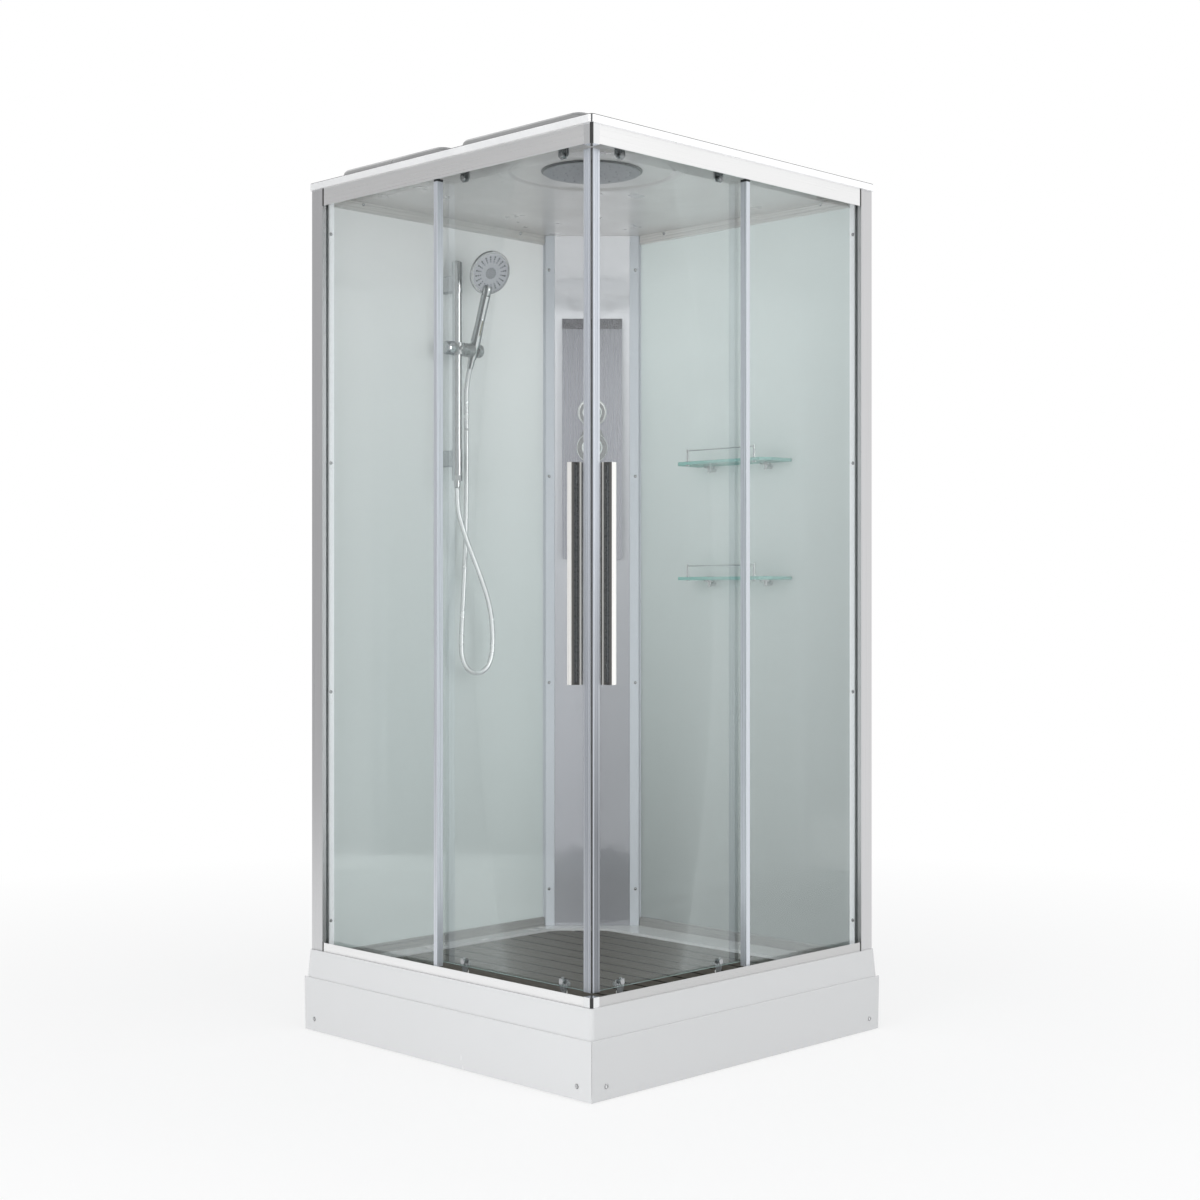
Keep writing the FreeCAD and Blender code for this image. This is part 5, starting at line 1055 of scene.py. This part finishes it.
class ENCLOSURE_OT_hose(bpy.types.Operator):
    """Add the hose between the outlet and the hand shower"""

    bl_idname = "enclosure.hose"
    bl_label = "Hose"

    def execute(self, context):
        settings = context.scene.enclosure_hose
        colour = tuple(context.scene.enclosure_colours.hose)
        points = spline_points(HOSE_ROUTE)
        lowest = min(range(len(points)), key=lambda k: points[k].z)
        split = next(k for k in range(lowest, len(points)) if points[k].z > settings.split_height)
        lower, upper = points[: split + 1], points[split:]
        radius = settings.diameter / 2
        material = self.silver(colour)
        main = tube("hose_main", lower, radius, settings.sides)
        end = tube("hose_upper", upper, radius, settings.sides)
        for piece in (main, end):
            piece.data.materials.append(material)
        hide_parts("hose")
        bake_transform(main)
        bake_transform(end)
        path_length(lower)
        path_length(upper)
        return {"FINISHED"}

    def silver(self, colour):
        f = Finish("Silver hose")
        x, y, _ = f.normal("Normal")
        # Painted shade and highlights across the hose by the way its surface turns
        tone = banded(f, (x + y) * 0.7071, HOSE_REFLECTION_TONES)
        sheen = f.noise(20.0, 3.0)
        base = f.mix(tone, shade(colour, 0.12), colour)
        shader = f.surface(
            base_color=base,
            metallic=0.55,
            roughness=f.span(sheen, 0.3, 0.7, 0.16, 0.3),
            coat_weight=0.5,
            coat_roughness=0.05,
        )
        return f.done(shader)


def turned(name, profile, sides=32):
    """Turn a closed piece about Z from steps of radius and height."""
    fresh()
    radius, height = profile[0]
    bpy.ops.mesh.primitive_circle_add(vertices=sides, radius=radius, fill_type="NGON")
    piece = bpy.context.object
    piece.name = name
    bpy.ops.object.mode_set(mode="EDIT")
    bpy.ops.transform.translate(value=(0, 0, height))
    for wide, high in profile[1:]:
        move = {"value": (0, 0, high - height)}
        bpy.ops.mesh.extrude_region_move(TRANSFORM_OT_translate=move)
        share = wide / radius
        bpy.ops.transform.resize(value=(share, share, 1), center_override=(0, 0, high))
        radius, height = wide, high
    bpy.ops.mesh.select_all(action="SELECT")
    bpy.ops.mesh.normals_make_consistent(inside=False)
    bpy.ops.object.mode_set(mode="OBJECT")
    bpy.ops.object.shade_smooth_by_angle(angle=math.radians(35))
    return piece


def plaque(name, width, length, depth, radius, soften=0.4):
    """Flat plate with rounded corners and a softened front, lying on the XY plane."""
    fresh()
    bpy.ops.mesh.primitive_cube_add(size=1)
    piece = bpy.context.object
    piece.name = name
    bpy.ops.object.mode_set(mode="EDIT")
    bpy.ops.transform.resize(value=(width, length, depth))
    bpy.ops.transform.translate(value=(0, 0, depth / 2))
    choose(piece, "EDGE", lambda e, v: abs(v[0].x - v[1].x) + abs(v[0].y - v[1].y) < depth / 100)
    bpy.ops.mesh.bevel(offset=radius, segments=5, affect="EDGES")
    choose(piece, "FACE", lambda p, v: p.normal.z > 0.9)
    bpy.ops.mesh.bevel(offset=depth * soften, segments=3, affect="EDGES")
    bpy.ops.object.mode_set(mode="OBJECT")
    bpy.ops.object.shade_smooth_by_angle(angle=math.radians(35))
    return piece


def choose(piece, kind, wanted):
    """Select the parts of a mesh, in edit mode, for which a test holds."""
    bpy.ops.mesh.select_mode(type=kind)
    bpy.ops.mesh.select_all(action="DESELECT")
    bpy.ops.object.mode_set(mode="OBJECT")
    mesh = piece.data
    parts = mesh.edges if kind == "EDGE" else mesh.polygons
    for part in parts:
        corners = [mesh.vertices[k].co for k in part.vertices]
        part.select = wanted(part, corners)
    bpy.ops.object.mode_set(mode="EDIT")


def seat(piece, origin, axis, side=None):
    """Move a piece's mesh so that its Z lies on an axis and its Y near a side."""
    up = axis.normalized()
    y = (side or up.orthogonal())
    y = (y - up * y.dot(up)).normalized()
    x = y.cross(up)
    turn = Matrix((x, y, up)).transposed().to_4x4()
    piece.data.transform(Matrix.Translation(origin) @ turn)


def copies(piece, name, places):
    """One object of many copies of a piece, each with its own mesh, size and place."""
    made = []
    for origin, axis, size in places:
        twin = bpy.data.objects.new(name, piece.data.copy())
        bpy.context.scene.collection.objects.link(twin)
        twin.data.transform(Matrix.Scale(size, 4))
        seat(twin, origin, axis)
        made.append(twin)
    bpy.data.objects.remove(piece)
    fresh()
    for twin in made:
        twin.select_set(True)
    bpy.context.view_layer.objects.active = made[0]
    bpy.ops.object.join()
    whole = bpy.context.object
    whole.name = name
    return whole


class ENCLOSURE_OT_handset(bpy.types.Operator):
    """Add the nozzles, the neck and the inlay of the hand shower"""

    bl_idname = "enclosure.handset"
    bl_label = "Hand shower"

    def execute(self, context):
        c = context.scene.enclosure_colours
        s = context.scene.enclosure_handset
        chrome = tuple(c.chrome)
        nozzles = self.nozzles(s)
        nozzles.data.materials.append(moulded("Nozzle rubber", tuple(c.nozzles), 0.5))
        neck = turned("handset_neck", (
            (s.neck * 0.90, 0.148),
            (s.neck, 0.156),
            (s.neck, 0.164),
            (s.neck * 0.9, 0.1695),
            (s.neck * 0.62, 0.1728),
            (s.neck * 0.2, 0.1740),
        ))
        seat(neck, TILT_CENTRE, LEAN)
        neck.data.materials.append(plated("Neck chrome", chrome, tones=GRIP_REFLECTION_TONES))
        front = (HEAD_LOOK - LEAN * HEAD_LOOK.dot(LEAN)).normalized()
        middle = TILT_CENTRE + LEAN * s.inlay_reach
        bezel = plaque("handset_bezel", *BEZEL)
        seat(bezel, middle + front * BEZEL_HEIGHT, front, LEAN)
        bezel.data.materials.append(plated("Bezel chrome", chrome, 0.08, 0.5))
        inlay = plaque("handset_inlay", *INLAY)
        seat(inlay, middle + front * INLAY_HEIGHT, front, LEAN)
        inlay.data.materials.append(moulded("Inlay", tuple(c.inlay), 0.35))
        for piece in (nozzles, neck, bezel, inlay):
            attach(piece, "hand_shower")
        return {"FINISHED"}

    def nozzles(self, s):
        up, side = HEAD_UP, HEAD_ACROSS
        base = HEAD_CENTRE + HEAD_LOOK * 0.0004
        places = []
        for row in range(s.rows):
            angle = 2 * math.pi * row / s.rows
            spoke = up * math.cos(angle) + side * math.sin(angle)
            rings = NOZZLE_RINGS
            if abs(angle - math.pi) < 0.45:
                rings = rings[:1]
            places += [(base + spoke * ring, HEAD_LOOK, ring / NOZZLE_RINGS[1]) for ring in rings]
        for count, ring in MIDDLE_RINGS:
            for k in range(count):
                angle = 2 * math.pi * k / count
                spoke = up * math.cos(angle) + side * math.sin(angle)
                places.append((base + spoke * ring, HEAD_LOOK, 0.9))
        return copies(turned("nozzle", NOZZLE, 12), "handset_nozzles", places)


class ENCLOSURE_OT_pads(bpy.types.Operator):
    """Add the raised pads that stand over the left edge of the roof"""

    bl_idname = "enclosure.pads"
    bl_label = "Roof pads"

    def execute(self, context):
        s = context.scene.enclosure_pads
        colour = shade(tuple(context.scene.enclosure_colours.acrylic), 1.36)
        finish = acrylic("Pad acrylic", colour, 0.35, 0.45, pad_sides)
        low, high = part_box("roof")
        base = LIP_EDGE
        depth = high[2] - 0.0003 - base
        rows = ((s.side_margin, s.middle - s.channel / 2), (s.middle + s.channel / 2, s.far))
        columns = ((s.front_margin, rows[0][1]), rows[1])
        count = 0
        for u0, u1 in columns:
            for w0, w1 in rows:
                count += 1
                name = "roof_pad_%d" % count
                pad = plaque(name, u1 - u0, w1 - w0, depth, s.corner, 0.6)
                centre = Vector((high[0] - (u0 + u1) / 2, low[1] + (w0 + w1) / 2, base))
                pad.data.transform(Matrix.Translation(centre))
                pad.data.materials.append(finish)
                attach(pad, "cabin")
        return {"FINISHED"}


class ENCLOSURE_PT_panel(bpy.types.Panel):
    bl_label = "Corner shower enclosure"
    bl_idname = "ENCLOSURE_PT_panel"
    bl_space_type = "VIEW_3D"
    bl_region_type = "UI"
    bl_category = "Enclosure"

    def draw(self, context):
        column = self.layout.column()
        for step in STEPS:
            column.operator(step.bl_idname)


STEPS = (
    ENCLOSURE_OT_stage,
    ENCLOSURE_OT_hose,
    ENCLOSURE_OT_handset,
    ENCLOSURE_OT_pads,
    ENCLOSURE_OT_finishes,
)
GROUPS = (EnclosureColours, EnclosureHose, EnclosureHandset, EnclosurePads, EnclosureView)
CLASSES = GROUPS + STEPS + (ENCLOSURE_PT_panel,)


def register():
    for cls in CLASSES:
        bpy.utils.register_class(cls)
    bpy.types.Scene.enclosure_colours = PointerProperty(type=EnclosureColours)
    bpy.types.Scene.enclosure_hose = PointerProperty(type=EnclosureHose)
    bpy.types.Scene.enclosure_handset = PointerProperty(type=EnclosureHandset)
    bpy.types.Scene.enclosure_pads = PointerProperty(type=EnclosurePads)
    bpy.types.Scene.enclosure_view = PointerProperty(type=EnclosureView)


def unregister():
    del bpy.types.Scene.enclosure_view
    del bpy.types.Scene.enclosure_pads
    del bpy.types.Scene.enclosure_handset
    del bpy.types.Scene.enclosure_hose
    del bpy.types.Scene.enclosure_colours
    for cls in reversed(CLASSES):
        bpy.utils.unregister_class(cls)


def main():
    register()
    bpy.ops.enclosure.stage()
    bpy.ops.enclosure.hose()
    bpy.ops.enclosure.handset()
    bpy.ops.enclosure.pads()
    bpy.ops.enclosure.finishes()
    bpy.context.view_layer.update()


if __name__ == "__main__":
    main()
